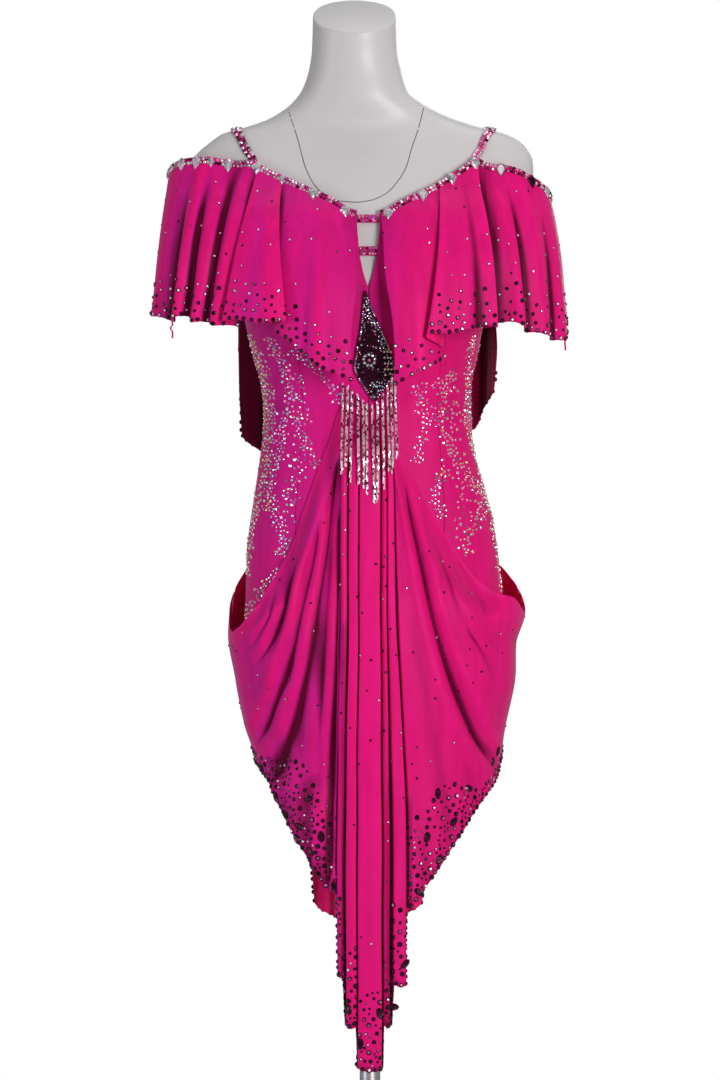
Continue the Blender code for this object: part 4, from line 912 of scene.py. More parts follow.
# Shoulder straps. Narrow bands of the dress's cloth over elastic, from the neckline over the shoulders to the back,
# each covered with two rows of clear crystals. Crystals are small cut cones with a flat table, glued on.
STRAP = [(132.5, -48), (147, -27), (157, 2), (152, 34), (132, 70)]
STRAP_END = {"strap_right": (102, 101.35), "strap_left": (103.5, 99.5)}  # the right back falls a little later
STRAP_MIDDLE, STRAP_WIDTH, STRAP_OFF = -8 * MM, 9 * MM, 1.1 * MM
STRAP_THICK, STRAP_STEP = 1.0 * MM, 0.005
STRAP_ROWS, STRAP_SWAY = (0.2, 0.8), 0.03  # where its rows of stones run, as shares of its width
STRAP_STONES = np.arange(0.012, 0.99, 0.0235)  # and the stones' places along it
STRAP_SIZES, STRAP_MIX = [2.3, 2.6], (0.3, [0.0, 0.3], [0.0, 0.1, 0.35, 0.35, 0.87, 0.95])
SHOULDER_LOW, SHOULDER_HIGH = 1295 * MM, 1440 * MM

facets = bpy.data.node_groups.new("cut_facets", "ShaderNodeTree")
for socket, kind, way in (("Cut", "NodeSocketFloat", "INPUT"), ("Roughness", "NodeSocketFloat", "OUTPUT"),
                          ("Normal", "NodeSocketVector", "OUTPUT")):
    facets.interface.new_socket(name=socket, in_out=way, socket_type=kind)
facets_in, facets_out = facets.nodes.new("NodeGroupInput"), facets.nodes.new("NodeGroupOutput")
stone_place = node(facets, "TexCoord").outputs["Object"]
cells = node(facets, "TexVoronoi", {"Scale": facets_in.outputs["Cut"], "Vector": stone_place},
             distance="CHEBYCHEV").outputs["Distance"]
facets.links.new(node(facets, "Bump", {"Strength": 1.0, "Distance": 0.00045, "Height": cells}).outputs[0],
                 facets_out.inputs["Normal"])
wear = node(facets, "TexNoise", {"Scale": 700.0, "Vector": stone_place}).outputs["Fac"]
facets.links.new(node(facets, "MapRange", {"Value": wear, "To Min": 0.06, "To Max": 0.2}).outputs[0],
                 facets_out.inputs["Roughness"])


def crystal(name, metallic, steps, fineness=760.0, **settings):
    """A cut stone's material, its colours in steps along each stone's own tint."""
    made, tree, shader = new_material(name, 0.1, metallic, **settings)
    cut = tree.nodes.new("ShaderNodeGroup")
    cut.node_tree = facets
    cut.inputs["Cut"].default_value = fineness
    tint = node(tree, "Attribute", attribute_name="tint").outputs["Fac"]
    tree.links.new(colour_steps(tree, tint, steps), shader.inputs["Base Color"])
    tree.links.new(cut.outputs["Roughness"], shader.inputs["Roughness"])
    tree.links.new(cut.outputs["Normal"], shader.inputs["Normal"])
    return made


# Clear stones' colours: silver; a dark grey, painted shade for stones and facets that catch no light; the rainbow
# coat's gold, aqua, violet and rose; and a near white.
CLEAR_STEPS = [(0.0, (0.86, 0.87, 0.90)), (0.35, (0.26, 0.22, 0.28)), (0.5, (0.94, 0.79, 0.46)),
               (0.62, (0.42, 0.80, 0.86)), (0.74, (0.52, 0.36, 0.88)), (0.87, (0.92, 0.42, 0.66)),
               (1.0, (0.97, 0.95, 0.99))]
clear_crystal = crystal("clear_crystal", 0.75, CLEAR_STEPS)
drop_crystal = crystal("drop_crystal", 0.5, CLEAR_STEPS, 300.0)
# Dark stones' colours, from near black through maroon and plum. The pale rose at the top is a painted glint for their
# tables.
DARK_STEPS = [(0.0, (0.012, 0.003, 0.006)), (0.3, (0.06, 0.003, 0.02)), (0.5, (0.07, 0.006, 0.04)),
              (0.62, (0.015, 0.012, 0.03)), (0.8, (0.36, 0.12, 0.24)), (1.0, (1.0, 0.84, 0.92))]
dark_crystal = crystal("dark_crystal", 0.35, DARK_STEPS, Specular_IOR_Level=0.2)
large_dark_crystal = crystal("large_dark_crystal", 0.35, DARK_STEPS, 300.0, Specular_IOR_Level=0.2)


def cut_stone(sides, table, height, tall=1.0, pointed=0.0):
    """A faceted stone of radius 1 on its flat back; tall stretches it, and pointed draws its lower end in."""
    bm = bmesh.new()
    bmesh.ops.create_cone(bm, cap_ends=True, segments=sides, radius1=1, radius2=table, depth=height)
    bmesh.ops.translate(bm, verts=bm.verts, vec=(0, 0, height / 2))
    for vert in bm.verts:
        if vert.co.y < 0:
            vert.co.x *= 1 - pointed * min(1, -vert.co.y) ** 1.2
            vert.co.y *= 1 + pointed * 0.6
        vert.co.y *= tall
    mesh = bpy.data.meshes.new("cut_stone")
    bm.to_mesh(mesh)
    bm.free()
    mesh.attributes.new("tint", "FLOAT", "POINT")
    return mesh


ROUND, ROUND_FINE, ROUND_DARK = cut_stone(8, 0.56, 0.62), cut_stone(6, 0.5, 0.6), cut_stone(8, 0.4, 0.62)
DROP, NAVETTE = cut_stone(12, 0.55, 0.42, 1.15, 0.85), cut_stone(12, 0.5, 0.5, 1.7)
PAINTED_GLINTS = (0.0, 0.3, 0.62, 0.8, 0.9, 1.0)  # pale tints painted on the tables of dark stones, a painted glint
BEDDED = 0.08  # how deep a stone sits in its glue, as a share of its radius
TABLE_HEIGHT = 0.1  # what lies higher than this on a stone is its flat top
SKIN_STEP = 0.002


def stone_spot(point, out, radius, turn=0.0):
    """Where a stone goes: on a point, facing out, its top towards +Z and then turned, at its radius."""
    out = Vector(out).normalized()
    side = Vector((0, 0, 1)).cross(out)
    side = side.normalized() if side.length > 1e-4 else Vector((1, 0, 0))
    up = out.cross(side)
    spot = Matrix((side, up, out)).transposed() @ Matrix.Rotation(turn, 3, "Z")
    return Matrix.Translation(Vector(point) - out * BEDDED * radius) @ spot.to_4x4() @ Matrix.Diagonal(
        (radius, radius, radius, 1))


def mixed_stone(point, out, radius, mix, dark_rows, clear_rows):
    """Adds a round stone: mix is the share of dark ones, then the tints that dark and clear ones draw from."""
    dark_share, dark_tints, clear_tints = mix
    spot = stone_spot(point, out, radius, draw.uniform(0, 1))
    if draw.random() < dark_share:
        dark_rows.append((ROUND_DARK, spot, draw.choice(dark_tints)))
    else:
        clear_rows.append((ROUND, spot, draw.choice(clear_tints)))


def set_stones(name, stones, material, lean=0.16, glints=(), painted_sparkle_facets=False):
    """One piece from rows of (cut, spot, tint); each leans a little its own way. glints are tints painted on the tables
    as caught light, a painted glint, or on every corner of a stone with painted sparkle facets, which paints its facets
    light and dark."""
    bm = bmesh.new()
    chance = np.random.default_rng(len(stones))
    for cut, spot, shade in stones:
        stone = cut.copy()
        tints = np.full(len(stone.vertices), shade)
        if glints:
            tables = [painted_sparkle_facets or vert.co.z > TABLE_HEIGHT for vert in stone.vertices]
            tints[tables] = chance.choice(glints, sum(tables) if painted_sparkle_facets else None)
        nod, roll = chance.normal(0, lean / 2, 2)
        stone.transform(spot @ Matrix.Rotation(nod, 4, "X") @ Matrix.Rotation(roll, 4, "Y") if lean else spot)
        stone.attributes["tint"].data.foreach_set("value", tints)
        bm.from_mesh(stone)
        bpy.data.meshes.remove(stone)
    made = shown(bm, name, material, smooth_shade=False)
    return made


def skin_at(place, u, v, off=0.0):
    """Points of a laid piece, moved out by off, and its outward directions there."""
    u, v = np.atleast_1d(np.asarray(u, float)), np.atleast_1d(np.asarray(v, float))
    round_it = place(np.minimum(u + SKIN_STEP, 1), v) - place(np.maximum(u - SKIN_STEP, 0), v)
    up_it = place(u, np.minimum(v + SKIN_STEP, 1)) - place(u, np.maximum(v - SKIN_STEP, 0))
    out = np.cross(round_it, up_it)
    out /= np.linalg.norm(out, axis=-1, keepdims=True) + 1e-12
    return place(u, v) + off * out, out


def on_shoulder(x, y):
    """The angle and height at which the figure's upper side lies over or under a point of the plan."""
    low, high = np.full_like(x, SHOULDER_LOW), np.full_like(x, SHOULDER_HIGH)
    for _ in range(30):
        z = (low + high) / 2
        centre, middle, half, front, back = sizes(FIGURE, z)
        depth = np.where(y < middle, front, back)
        outside = ((x - centre) / half) ** 2 + (abs(y - middle) / depth) ** (2 / ROUNDNESS) > 1
        low, high = np.where(outside, low, z), np.where(outside, z, high)
    ahead = np.arcsin(np.clip((x - centre) / half, -1, 1))
    return np.where(y < middle, ahead, np.sign(x) * math.pi - ahead), z


draw = np.random.default_rng(11)
strap_stones, strap_dark = [], []
for name, side in (("strap_right", -1), ("strap_left", 1)):
    path = np.array(STRAP + [STRAP_END[name]]) * MM

    def strap_centre(v, side=side, path=path):
        knots = np.linspace(0, 1, len(path))
        out, y = (smooth(v, knots, path[:, k]) for k in (0, 1))
        return on_shoulder(STRAP_MIDDLE + side * out, y)

    def strap_place(u, v, strap_centre=strap_centre):
        off = np.full_like(v, STRAP_OFF)
        middle = surface(FIGURE, *strap_centre(v), off)
        ahead = surface(FIGURE, *strap_centre(np.minimum(v + STRAP_STEP, 1)), off)
        ahead -= surface(FIGURE, *strap_centre(np.maximum(v - STRAP_STEP, 0)), off)
        across = np.cross(ahead, middle - bare(FIGURE, *strap_centre(v)))
        across /= np.linalg.norm(across, axis=-1, keepdims=True)
        return middle + ((u - 0.5) * STRAP_WIDTH)[:, None] * across

    hang(name + "_band", 6, 90, strap_place, [name], (satin,), STRAP_THICK)
    for row in STRAP_ROWS:
        across = row + draw.uniform(-STRAP_SWAY, STRAP_SWAY, len(STRAP_STONES))
        points, outs = skin_at(strap_place, across, STRAP_STONES, STRAP_THICK)
        for point, out in zip(points, outs):
            mixed_stone(point, out, draw.choice(STRAP_SIZES) * MM, STRAP_MIX, strap_dark, strap_stones)
set_stones("strap_crystals", strap_stones, clear_crystal)
set_stones("strap_dark_crystals", strap_dark, dark_crystal, glints=PAINTED_GLINTS)


# Neckline jewels. The flounce's top edge is bound with a narrow fold of its own cloth. On it, big clear drops
# with their points down hang between rows of small round crystals, clear and dark, all the way round.
BINDING_SHARE, BINDING_LIFT, BINDING_THICK = 0.022, 1.7 * MM, 1.0 * MM
# Drops along the front, from the right shoulder to the left one: the pixel they lie at, and their kind.
FRONT_JEWELS = [
    (196, "big"), (211, "drop"), (228, "big"), (257, "big"), (282, "drop"), (313, "big"), (345, "big"), (388, "big"),
    (423.5, "big"), (452, "big"), (475, "big"), (501, "dark"), (532, "dark"),
]
JEWEL_SIZES = {"big": 6.2 * MM, "dark": 6.4 * MM, "drop": 4.4 * MM}
JEWEL_TINTS = {"big": 0.0, "dark": 0.62, "drop": 0.87}
DROP_ROW, DROP_HANGS = 0.35, 0.4
UPPER_ROW, LOWER_ROW = 0.55, 0.1  # the two rows of small stones, as shares of the band's width
JEWEL_PITCH, JEWEL_ENDS = 4.6 * MM, (2.2 * MM, 2 * MM)  # and how far from the band's ends they stop
JEWEL_RADII, JEWEL_MIX = [1.9, 2.2, 2.5], (0.45, [0.0, 0.3, 0.5], [0.0, 0.1, 0.3, 0.56, 0.87, 0.95])
DROP_WIDE, DROP_CLEAR = 0.62, 1.8 * MM  # the room that each drop keeps, by its radius and besides
DROPS_BEHIND = {  # from and to, as shares of the band's length, and how many
    "neck_band_right": (0.02, 0.34, 6), "neck_band_left": (0.73, 0.98, 5), "neck_band_back": (0.03, 0.97, 15)}
FRAME_MIDDLE = (360, 540)  # the pixel at the middle of the frame
FRONT_STEPS, BAND_STEPS, FACES_BACK = 900, 400, 0.1
binding_places = {}
for name, stations, side in (("neck_band_right", RIGHT_FLOUNCE, -1), ("neck_band_left", LEFT_FLOUNCE, 1),
                             ("neck_band_back", CAPE, 1)):

    def binding_place(u, v, stations=stations, side=side):
        high = 1 - BINDING_SHARE * (1 - v)
        crown = BINDING_LIFT - 0.5 * MM * (2 * v - 1) ** 2
        return flounce_places(stations, side, high, 1 - u if side < 0 else u, crown)

    hang(name + "_binding", 200, 4, binding_place, [name], (satin,), BINDING_THICK)
    binding_places[name] = binding_place
scene_lines = bpy.context.evaluated_depsgraph_get()
skins = {}


def sight(px, py):
    """The camera's line of sight through one of its pixels."""
    right, up = (px - FRAME_MIDDLE[0]) * MM_TO_PIXEL * MM, (FRAME_MIDDLE[1] - py) * MM_TO_PIXEL * MM
    return Vector((right, -CAMERA_AT.y, up)).normalized()


def lands_on(origin, way, wanted):
    """The point and direction at which a line first meets a sheet of cloth, if its name is one wanted."""
    best = None
    for name, (made, _) in cloths.items():
        if name not in skins:
            skins[name] = BVHTree.FromObject(made, scene_lines)
        point, out, _, far = skins[name].ray_cast(origin, way)
        if point is not None and (best is None or far < best[0]):
            best = (far, name, point, out)
    if best is None or not best[1].startswith(wanted):
        return None
    return best[2], best[3] if best[3].dot(way) < 0 else -best[3]


draw = np.random.default_rng(23)
neck_stones, neck_dark, neck_drops, drops_at = [], [], [], []
front_spots = []
for name in ("neck_band_right", "neck_band_left"):
    spread = np.linspace(0, 1, FRONT_STEPS)
    points, outs = skin_at(binding_places[name], spread, np.full(FRONT_STEPS, DROP_ROW), BINDING_THICK)
    far = (points[:, 1] - CAMERA_AT.y) / -CAMERA_AT.y
    front_spots += [(FRAME_MIDDLE[0] + (point[0] - CAMERA_AT.x) / (depth * MM_TO_PIXEL * MM), point, out)
                    for point, out, depth in zip(points, outs, far) if out[1] < FACES_BACK]


def set_drop(point, out, kind):
    """A pear-shaped stone, point down, its top on the band's edge."""
    radius = JEWEL_SIZES[kind]
    spot = stone_spot(point, out, radius)
    spot.translation -= spot.to_3x3() @ Vector((0, DROP_HANGS, 0))
    (neck_dark if kind == "dark" else neck_drops).append((DROP, spot, JEWEL_TINTS[kind]))
    drops_at.append((Vector(point), radius))


for px, kind in FRONT_JEWELS:
    _, point, out = min(front_spots, key=lambda spot: abs(spot[0] - px))
    set_drop(point, out, kind)
for name, (start, end, count) in DROPS_BEHIND.items():
    spots = np.linspace(start, end, count)
    points, outs = skin_at(binding_places[name], spots, np.full(count, DROP_ROW), BINDING_THICK)
    for k, (point, out) in enumerate(zip(points, outs)):
        set_drop(point, out, ("big", "drop")[k % 2])
for name, place in binding_places.items():
    spread = np.linspace(0, 1, BAND_STEPS)
    line = place(spread, np.full(BAND_STEPS, 0.5))
    along = np.concatenate([[0], np.cumsum(np.linalg.norm(np.diff(line, axis=0), axis=1))])
    for low, start in ((UPPER_ROW, 0), (LOWER_ROW, JEWEL_PITCH / 2)):
        spots = np.interp(np.arange(start + JEWEL_ENDS[0], along[-1] - JEWEL_ENDS[1], JEWEL_PITCH), along, spread)
        points, outs = skin_at(place, spots, np.full(len(spots), low), BINDING_THICK)
        for point, out in zip(points, outs):
            point = Vector(point) - Vector((0, 0, (UPPER_ROW - low) * JEWEL_PITCH))
            if all((point - other).length > DROP_WIDE * radius + DROP_CLEAR for other, radius in drops_at):
                mixed_stone(point, out, draw.choice(JEWEL_RADII) * MM, JEWEL_MIX, neck_dark, neck_stones)
set_stones("neckline_drops", neck_drops, drop_crystal, glints=(0.0, 0.05, 0.3, 0.35, 1.0), painted_sparkle_facets=True)
set_stones("neckline_jewels", neck_stones, clear_crystal)
set_stones("neckline_dark_jewels", neck_dark, dark_crystal, glints=PAINTED_GLINTS)


# Keyhole bars. Two short straps of cloth cross the open keyhole, each set close with small clear stones.
BARS = {"keyhole_bar_upper": (1296 * MM, 1305.5 * MM), "keyhole_bar_lower": (1256 * MM, 1267 * MM)}  # lower, upper edge
BAR_THICK, BAR_STONE = 1.2 * MM, 1.75 * MM
BAR_ROWS = {0.2: 6, 0.5: 5, 0.8: 6}  # stones to a row, by its share of the bar's width
BAR_ENDS, BAR_MIX = (0.06, 0.94), (0.45, [0.0, 0.3], [0.0, 0.35, 0.74, 0.87])
draw = np.random.default_rng(31)
bar_stones, bar_dark = [], []
for name, (low, high) in BARS.items():

    def bar_place(u, v, low=low, high=high):
        z = low + v * (high - low)
        half = np.interp(z, KEYHOLE[:, 0], KEYHOLE[:, 1]) - 2 * SEAM
        angle = angle_at(FIGURE, KEYHOLE_X + (2 * u - 1) * half, z)
        return surface(FIGURE, angle, z, np.full_like(z, FORM_GAP))

    hang(name + "_band", 20, 8, bar_place, [name], (satin,), BAR_THICK)
    for row, count in BAR_ROWS.items():
        points, outs = skin_at(bar_place, np.linspace(*BAR_ENDS, count), np.full(count, row), BAR_THICK)
        for point, out in zip(points, outs):
            mixed_stone(point, out, BAR_STONE, BAR_MIX, bar_dark, bar_stones)
set_stones("keyhole_bar_crystals", bar_stones, clear_crystal)
set_stones("keyhole_bar_dark_crystals", bar_dark, dark_crystal, glints=PAINTED_GLINTS)


# Pendant. A stiff leaf-shaped plaque, backed with black cloth, hangs over the centre-front seam. Small clear stones
# edge it and fill its point, dark and coloured ones crowd its middle round a flower of clear stones.
PENDANT = np.array([
    (1081, 1), (1092, 9), (1106, 18), (1122, 24), (1140, 21), (1165, 13.5), (1190, 7), (1214, 1),
]) * MM
PENDANT_MIDDLE = np.array([(1081, 5.5), (1125, 5), (1214, -6)]) * MM  # height and x of its middle line
PENDANT_THICK, PENDANT_OFF = 2.0 * MM, 0.5 * MM
SET_CLOSE = 0.93  # the least distance between two stones' middles, as a share of both radii
FLOWER_AT, FLOWER_RADIUS, FLOWER_PETALS = (-6 * MM, 1131 * MM), 6.7 * MM, 9
FLOWER_STONE, PETAL_STONE, PETAL_TINT = 4.2 * MM, 2.2 * MM, 0.05
UPPER_STONE, LOWER_STONE = (-2 * MM, 1177 * MM, 3.5 * MM), (2 * MM, 1099 * MM, 2.2 * MM)  # x, height and radius
# A block of clear stones at the side of the flower; then the stones along the rim, and those that fill the rest.
BLOCK_X, BLOCK_Z, BLOCK_STONE, BLOCK_TINTS = (12.4, 16.2, 20), (1141, 1134, 1127, 1120), 1.9 * MM, [0.5, 0.95, 1.0]
RIM_PLACES, RIM_IN, RIM_STONE = np.arange(1084, 1212, 2.7) * MM, 1.3 * MM, 1.35 * MM
RIM_DARK, RIM_TINTS = 0.35, [0.0, 0.35, 0.74, 0.95]
FILL_TRIES, FILL_LOW, FILL_HIGH, FILL_IN = 5200, 1083, 1211, 1.4 * MM
POINT_BELOW, PALE_ABOVE, PALE_BESIDE = 1105 * MM, 1168 * MM, 0.5
PALE_DARK, MIDDLE_DARK, POINT_DARK = 0.12, 0.78, 0.5  # the share of dark stones in each part
DARK_FILL, CLEAR_FILL = [1.4, 1.8, 2.2, 2.5], [1.3, 1.5, 1.8]
DARK_FILL_TINTS, CLEAR_FILL_TINTS = [0.0, 0.3, 0.5], [0.0, 0.35, 0.62, 0.74, 0.87, 1.0]

backing, tree, shader = new_material("black_felt", 0.9, Specular_IOR_Level=0.1)
felt = node(tree, "TexNoise", {"Scale": 500.0, "Detail": 4.0, "Vector": node(tree, "TexCoord").outputs["Object"]})
tree.links.new(colour_steps(tree, felt.outputs["Fac"], [(0.3, (0.006, 0.002, 0.004)), (0.7, (0.04, 0.002, 0.014))]),
               shader.inputs["Base Color"])
tree.links.new(node(tree, "Bump", {"Strength": 0.4, "Distance": 0.0005, "Height": felt.outputs["Fac"]}).outputs[0],
               shader.inputs["Normal"])


def pendant_middle(z):
    return smooth(z, PENDANT_MIDDLE[:, 0], PENDANT_MIDDLE[:, 1])


def pendant_place(u, v):
    z = PENDANT[0, 0] + v * (PENDANT[-1, 0] - PENDANT[0, 0])
    x = pendant_middle(z) + (2 * u - 1) * smooth(z, PENDANT[:, 0], PENDANT[:, 1])
    return surface(FIGURE, angle_at(FIGURE, x, z), z, np.full_like(z, ON_BODICE + PENDANT_OFF))


def pendant_spot(x, z):
    """u and v of a point of the plaque, from its middle line and its height."""
    half = smooth(z, PENDANT[:, 0], PENDANT[:, 1])
    return 0.5 + x / (2 * half), (z - PENDANT[0, 0]) / (PENDANT[-1, 0] - PENDANT[0, 0])


hang("pendant_backing", 16, 60, pendant_place, ["pendant_plaque"], (backing,), PENDANT_THICK)
draw = np.random.default_rng(47)
taken, clear_rows, dark_rows = [], [], []


def pendant_stone(x, z, radius, dark, shade):
    """Sets a stone on the plaque, if there is room for it."""
    if any(math.hypot(x - tx, z - tz) < SET_CLOSE * (radius + tr) for tx, tz, tr in taken):
        return
    taken.append((x, z, radius))
    u, v = pendant_spot(x, z)
    points, outs = skin_at(pendant_place, u, v, PENDANT_THICK)
    spot = stone_spot(points[0], outs[0], radius)
    (dark_rows if dark else clear_rows).append((ROUND_DARK if dark else ROUND, spot, shade))


flower_x, flower_z = FLOWER_AT
pendant_stone(flower_x, flower_z, FLOWER_STONE, True, 0.0)
for petal in range(FLOWER_PETALS):
    turn = 2 * math.pi * petal / FLOWER_PETALS
    pendant_stone(flower_x + FLOWER_RADIUS * math.sin(turn), flower_z + FLOWER_RADIUS * math.cos(turn), PETAL_STONE,
                  False, PETAL_TINT)
pendant_stone(*UPPER_STONE, True, 0.0)
for x in BLOCK_X:
    for z in BLOCK_Z:
        pendant_stone(x * MM, z * MM, BLOCK_STONE, False, draw.choice(BLOCK_TINTS))
pendant_stone(*LOWER_STONE, False, 0.62)
for side in (-1, 1):
    for z in RIM_PLACES:
        half = smooth(z, PENDANT[:, 0], PENDANT[:, 1])
        pendant_stone(side * (half - RIM_IN), z, RIM_STONE, draw.random() < RIM_DARK, draw.choice(RIM_TINTS))
for _ in range(FILL_TRIES):
    z = draw.uniform(FILL_LOW, FILL_HIGH) * MM
    half = float(smooth(z, PENDANT[:, 0], PENDANT[:, 1])) - FILL_IN
    if half <= 0:
        continue
    x = draw.uniform(-half, half)
    pale = z > PALE_ABOVE or x > PALE_BESIDE * half
    dark = draw.random() < (PALE_DARK if pale else MIDDLE_DARK if z > POINT_BELOW else POINT_DARK)
    radius = draw.choice(DARK_FILL if dark else CLEAR_FILL) * MM
    pendant_stone(x, z, radius, dark, draw.choice(DARK_FILL_TINTS if dark else CLEAR_FILL_TINTS))
set_stones("pendant_clear_stones", clear_rows, clear_crystal)
set_stones("pendant_dark_stones", dark_rows, dark_crystal, glints=(0.0, 0.0, 0.3, 0.3, 0.3, 0.8))


# Fringe. Strands of silver bugle beads, two to a hanging point, fall from the plaque's lower rim over the pleats.
# Each strand is a row of six-sided beads on one line, with two short beads below its end.
FRINGE = [  # the pixel each pair hangs at, where it ends and how high it starts
    (344, 344, 473, 381), (348.5, 348, 463, 384), (353, 352, 480, 388), (358, 360, 484, 392), (363, 364.5, 486, 398),
    (366.5, 367.5, 493, 402), (371.5, 374, 503, 404), (377, 377, 500, 400), (382, 382.6, 485, 392),
    (386.5, 387.5, 472, 384), (390.5, 390.5, 470, 376), (394, 394.3, 460, 366),
]
BUGLE, BUGLE_RADIUS, BUGLE_PITCH = 2.6 * MM, 0.85 * MM, 2.9 * MM
STRAND_APART, TWIST = 1.5 * MM, 22.0
BEAD_LEAN, END_BEAD = 0.08, (1.05 * MM, 1.05 * MM, 1.6 * MM)
FRINGE_OFF = 19.6 * MM  # from the skirt's section to the strands, over the pleats
END_SPREAD, TURNS = (-5, 3), 6  # how far a strand's end strays in pixels, and the turns that are drawn from
SPREAD_LEAST, SPREAD_SWING = 0.75, 0.25
END_DROP, END_PITCH, END_TINT = 1.4, 2.2, 0.6
# Most beads are silver. The darker grey and near black tints are painted dark reflections between the bright beads.
BEAD_TINTS = [0.0, 0.0, 0.1, 0.3, 0.55, 0.8, 1.0]
FRINGE_ON, FRINGE_FREE = 4.2 * MM, 1081 * MM  # off the bodice at the top, and where the strands leave it
MIDDLE_PIXEL, FRAME_TOP = 370, 1570 * MM  # the dress's middle, and the height at the frame's upper edge
bugle_silver, tree, shader = new_material("bugle_silver", 0.2, 0.6)
tint = node(tree, "Attribute", attribute_name="tint").outputs["Fac"]
silver_steps = [(0.0, (0.96, 0.92, 0.95)), (0.55, (0.60, 0.40, 0.48)), (1.0, (0.05, 0.01, 0.02))]
tree.links.new(colour_steps(tree, tint, silver_steps), shader.inputs["Base Color"])
bugle = bmesh.new()
bmesh.ops.create_cone(bugle, cap_ends=True, segments=6, radius1=1, radius2=1, depth=1)
bugle_mesh = bpy.data.meshes.new("bugle")
bugle.to_mesh(bugle_mesh)
bugle.free()
bugle_mesh.attributes.new("tint", "FLOAT", "POINT")
draw = np.random.default_rng(59)
beads = []
for top_x, end_x, end_y, top_y in FRINGE:
    for strand in (-1, 1):
        z = FRAME_TOP - MM_TO_PIXEL * MM * top_y
        bottom = FRAME_TOP - MM_TO_PIXEL * MM * (end_y + draw.uniform(*END_SPREAD))
        height, phase = z - bottom, draw.uniform(0, TURNS)
        places = np.arange(bottom, z, BUGLE_PITCH)
        share = (z - places) / height
        x = (top_x + (end_x - top_x) * share - MIDDLE_PIXEL) * MM_TO_PIXEL * MM
        x = x + strand * STRAND_APART / 2 * (SPREAD_LEAST + SPREAD_SWING * np.cos(TWIST * places + phase))
        laid = surface(FIGURE, angle_at(FIGURE, x, places), places, np.full_like(places, ON_BODICE + FRINGE_ON))
        hung = surface(SKIRT, angle_at(SKIRT, x, places), places, np.full_like(places, FRINGE_OFF))
        line = laid + (hung - laid) * ease((FRINGE_FREE - places) / HANGS_BELOW)[:, None]
        line[:, 1] += strand * STRAND_APART / 2 * np.sin(TWIST * places + phase)
        for low, high in zip(line, line[1:]):
            way = Vector(high - low)
            way += Vector(draw.normal(0, BEAD_LEAN, 3)) * way.length
            spin = way.to_track_quat("Z", "Y").to_matrix().to_4x4()
            spot = Matrix.Translation(Vector((low + high) / 2)) @ spin @ Matrix.Rotation(
                draw.uniform(0, TURNS), 4, "Z") @ Matrix.Diagonal((BUGLE_RADIUS, BUGLE_RADIUS, BUGLE, 1))
            beads.append((bugle_mesh, spot, draw.choice(BEAD_TINTS)))
        for drop in (0, 1):
            under = Vector(line[0]) - Vector((0, 0, (drop * END_PITCH + END_DROP) * MM))
            beads.append((bugle_mesh, Matrix.Translation(under) @ Matrix.Diagonal((*END_BEAD, 1)), END_TINT))
fringe = set_stones("bead_fringe", beads, bugle_silver, lean=0)
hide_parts("fringe")


# Bodice crystals. Clear stones with a rainbow coat, glued on by hand in trailing lines that branch like vines,
# down both sides of the front, round the sides and over the small of the back.
# Each trail: half-width in pixels, stones to a pixel of length, then the line's pixels.
FRONT_TRAILS = [
    (3.0, 1.5, [(249, 334), (258, 359), (264, 381), (266, 403), (266, 425), (266, 445), (266, 468), (264, 483),
                (259, 500), (254, 517), (250.5, 534), (248, 552), (247, 575)]),
    (5.0, 0.7, [(256, 352), (270, 390), (272, 430), (271, 480), (266, 510)]),
    (5.0, 1.1, [(268, 337), (278, 354), (285, 370), (289, 388), (289, 403), (286, 414)]),
    (4.0, 1.3, [(296, 410), (300, 434), (309, 446), (318, 468)]),
    (4.0, 1.2, [(286, 414), (280, 428), (283, 441), (276, 462), (267, 483)]),
    (5.5, 1.3, [(266, 486), (274, 514), (284, 530), (285, 543), (280, 556)]),
    (4.5, 1.3, [(280, 572), (267, 583), (256, 598), (247, 620)]),
    (4.0, 1.0, [(290, 350), (300, 356), (312, 366), (325, 379), (336, 392), (339, 404)]),
    (9.0, 0.35, [(300, 372), (296, 400), (304, 430), (296, 470), (290, 500), (280, 530)]),
    (6.0, 1.5, [(417, 383), (421, 397), (424, 412), (434, 419), (446, 414)]),
    (4.5, 1.1, [(427, 420), (422, 434), (419, 450), (417, 464)]),
    (4.0, 1.1, [(455, 370), (446, 381), (443, 397), (443, 414), (441, 430), (448, 441), (452, 457), (466, 470),
                (479, 488), (489, 502)]),
    (4.5, 1.3, [(447, 468), (439, 481), (434, 494), (439, 508), (442, 518)]),
    (5.0, 1.2, [(481, 499), (483, 514), (471, 530), (463, 545), (468, 556)]),
    (2.4, 1.6, [(474, 336), (469, 357), (468, 381), (467, 403), (467, 423), (470, 441), (474, 452), (481, 474)]),
    (2.4, 1.1, [(481, 474), (486, 494), (491, 510), (496, 540), (499, 565), (502, 592)]),
    (9.0, 0.30, [(436, 380), (456, 400), (452, 440), (462, 500), (470, 540)]),
]
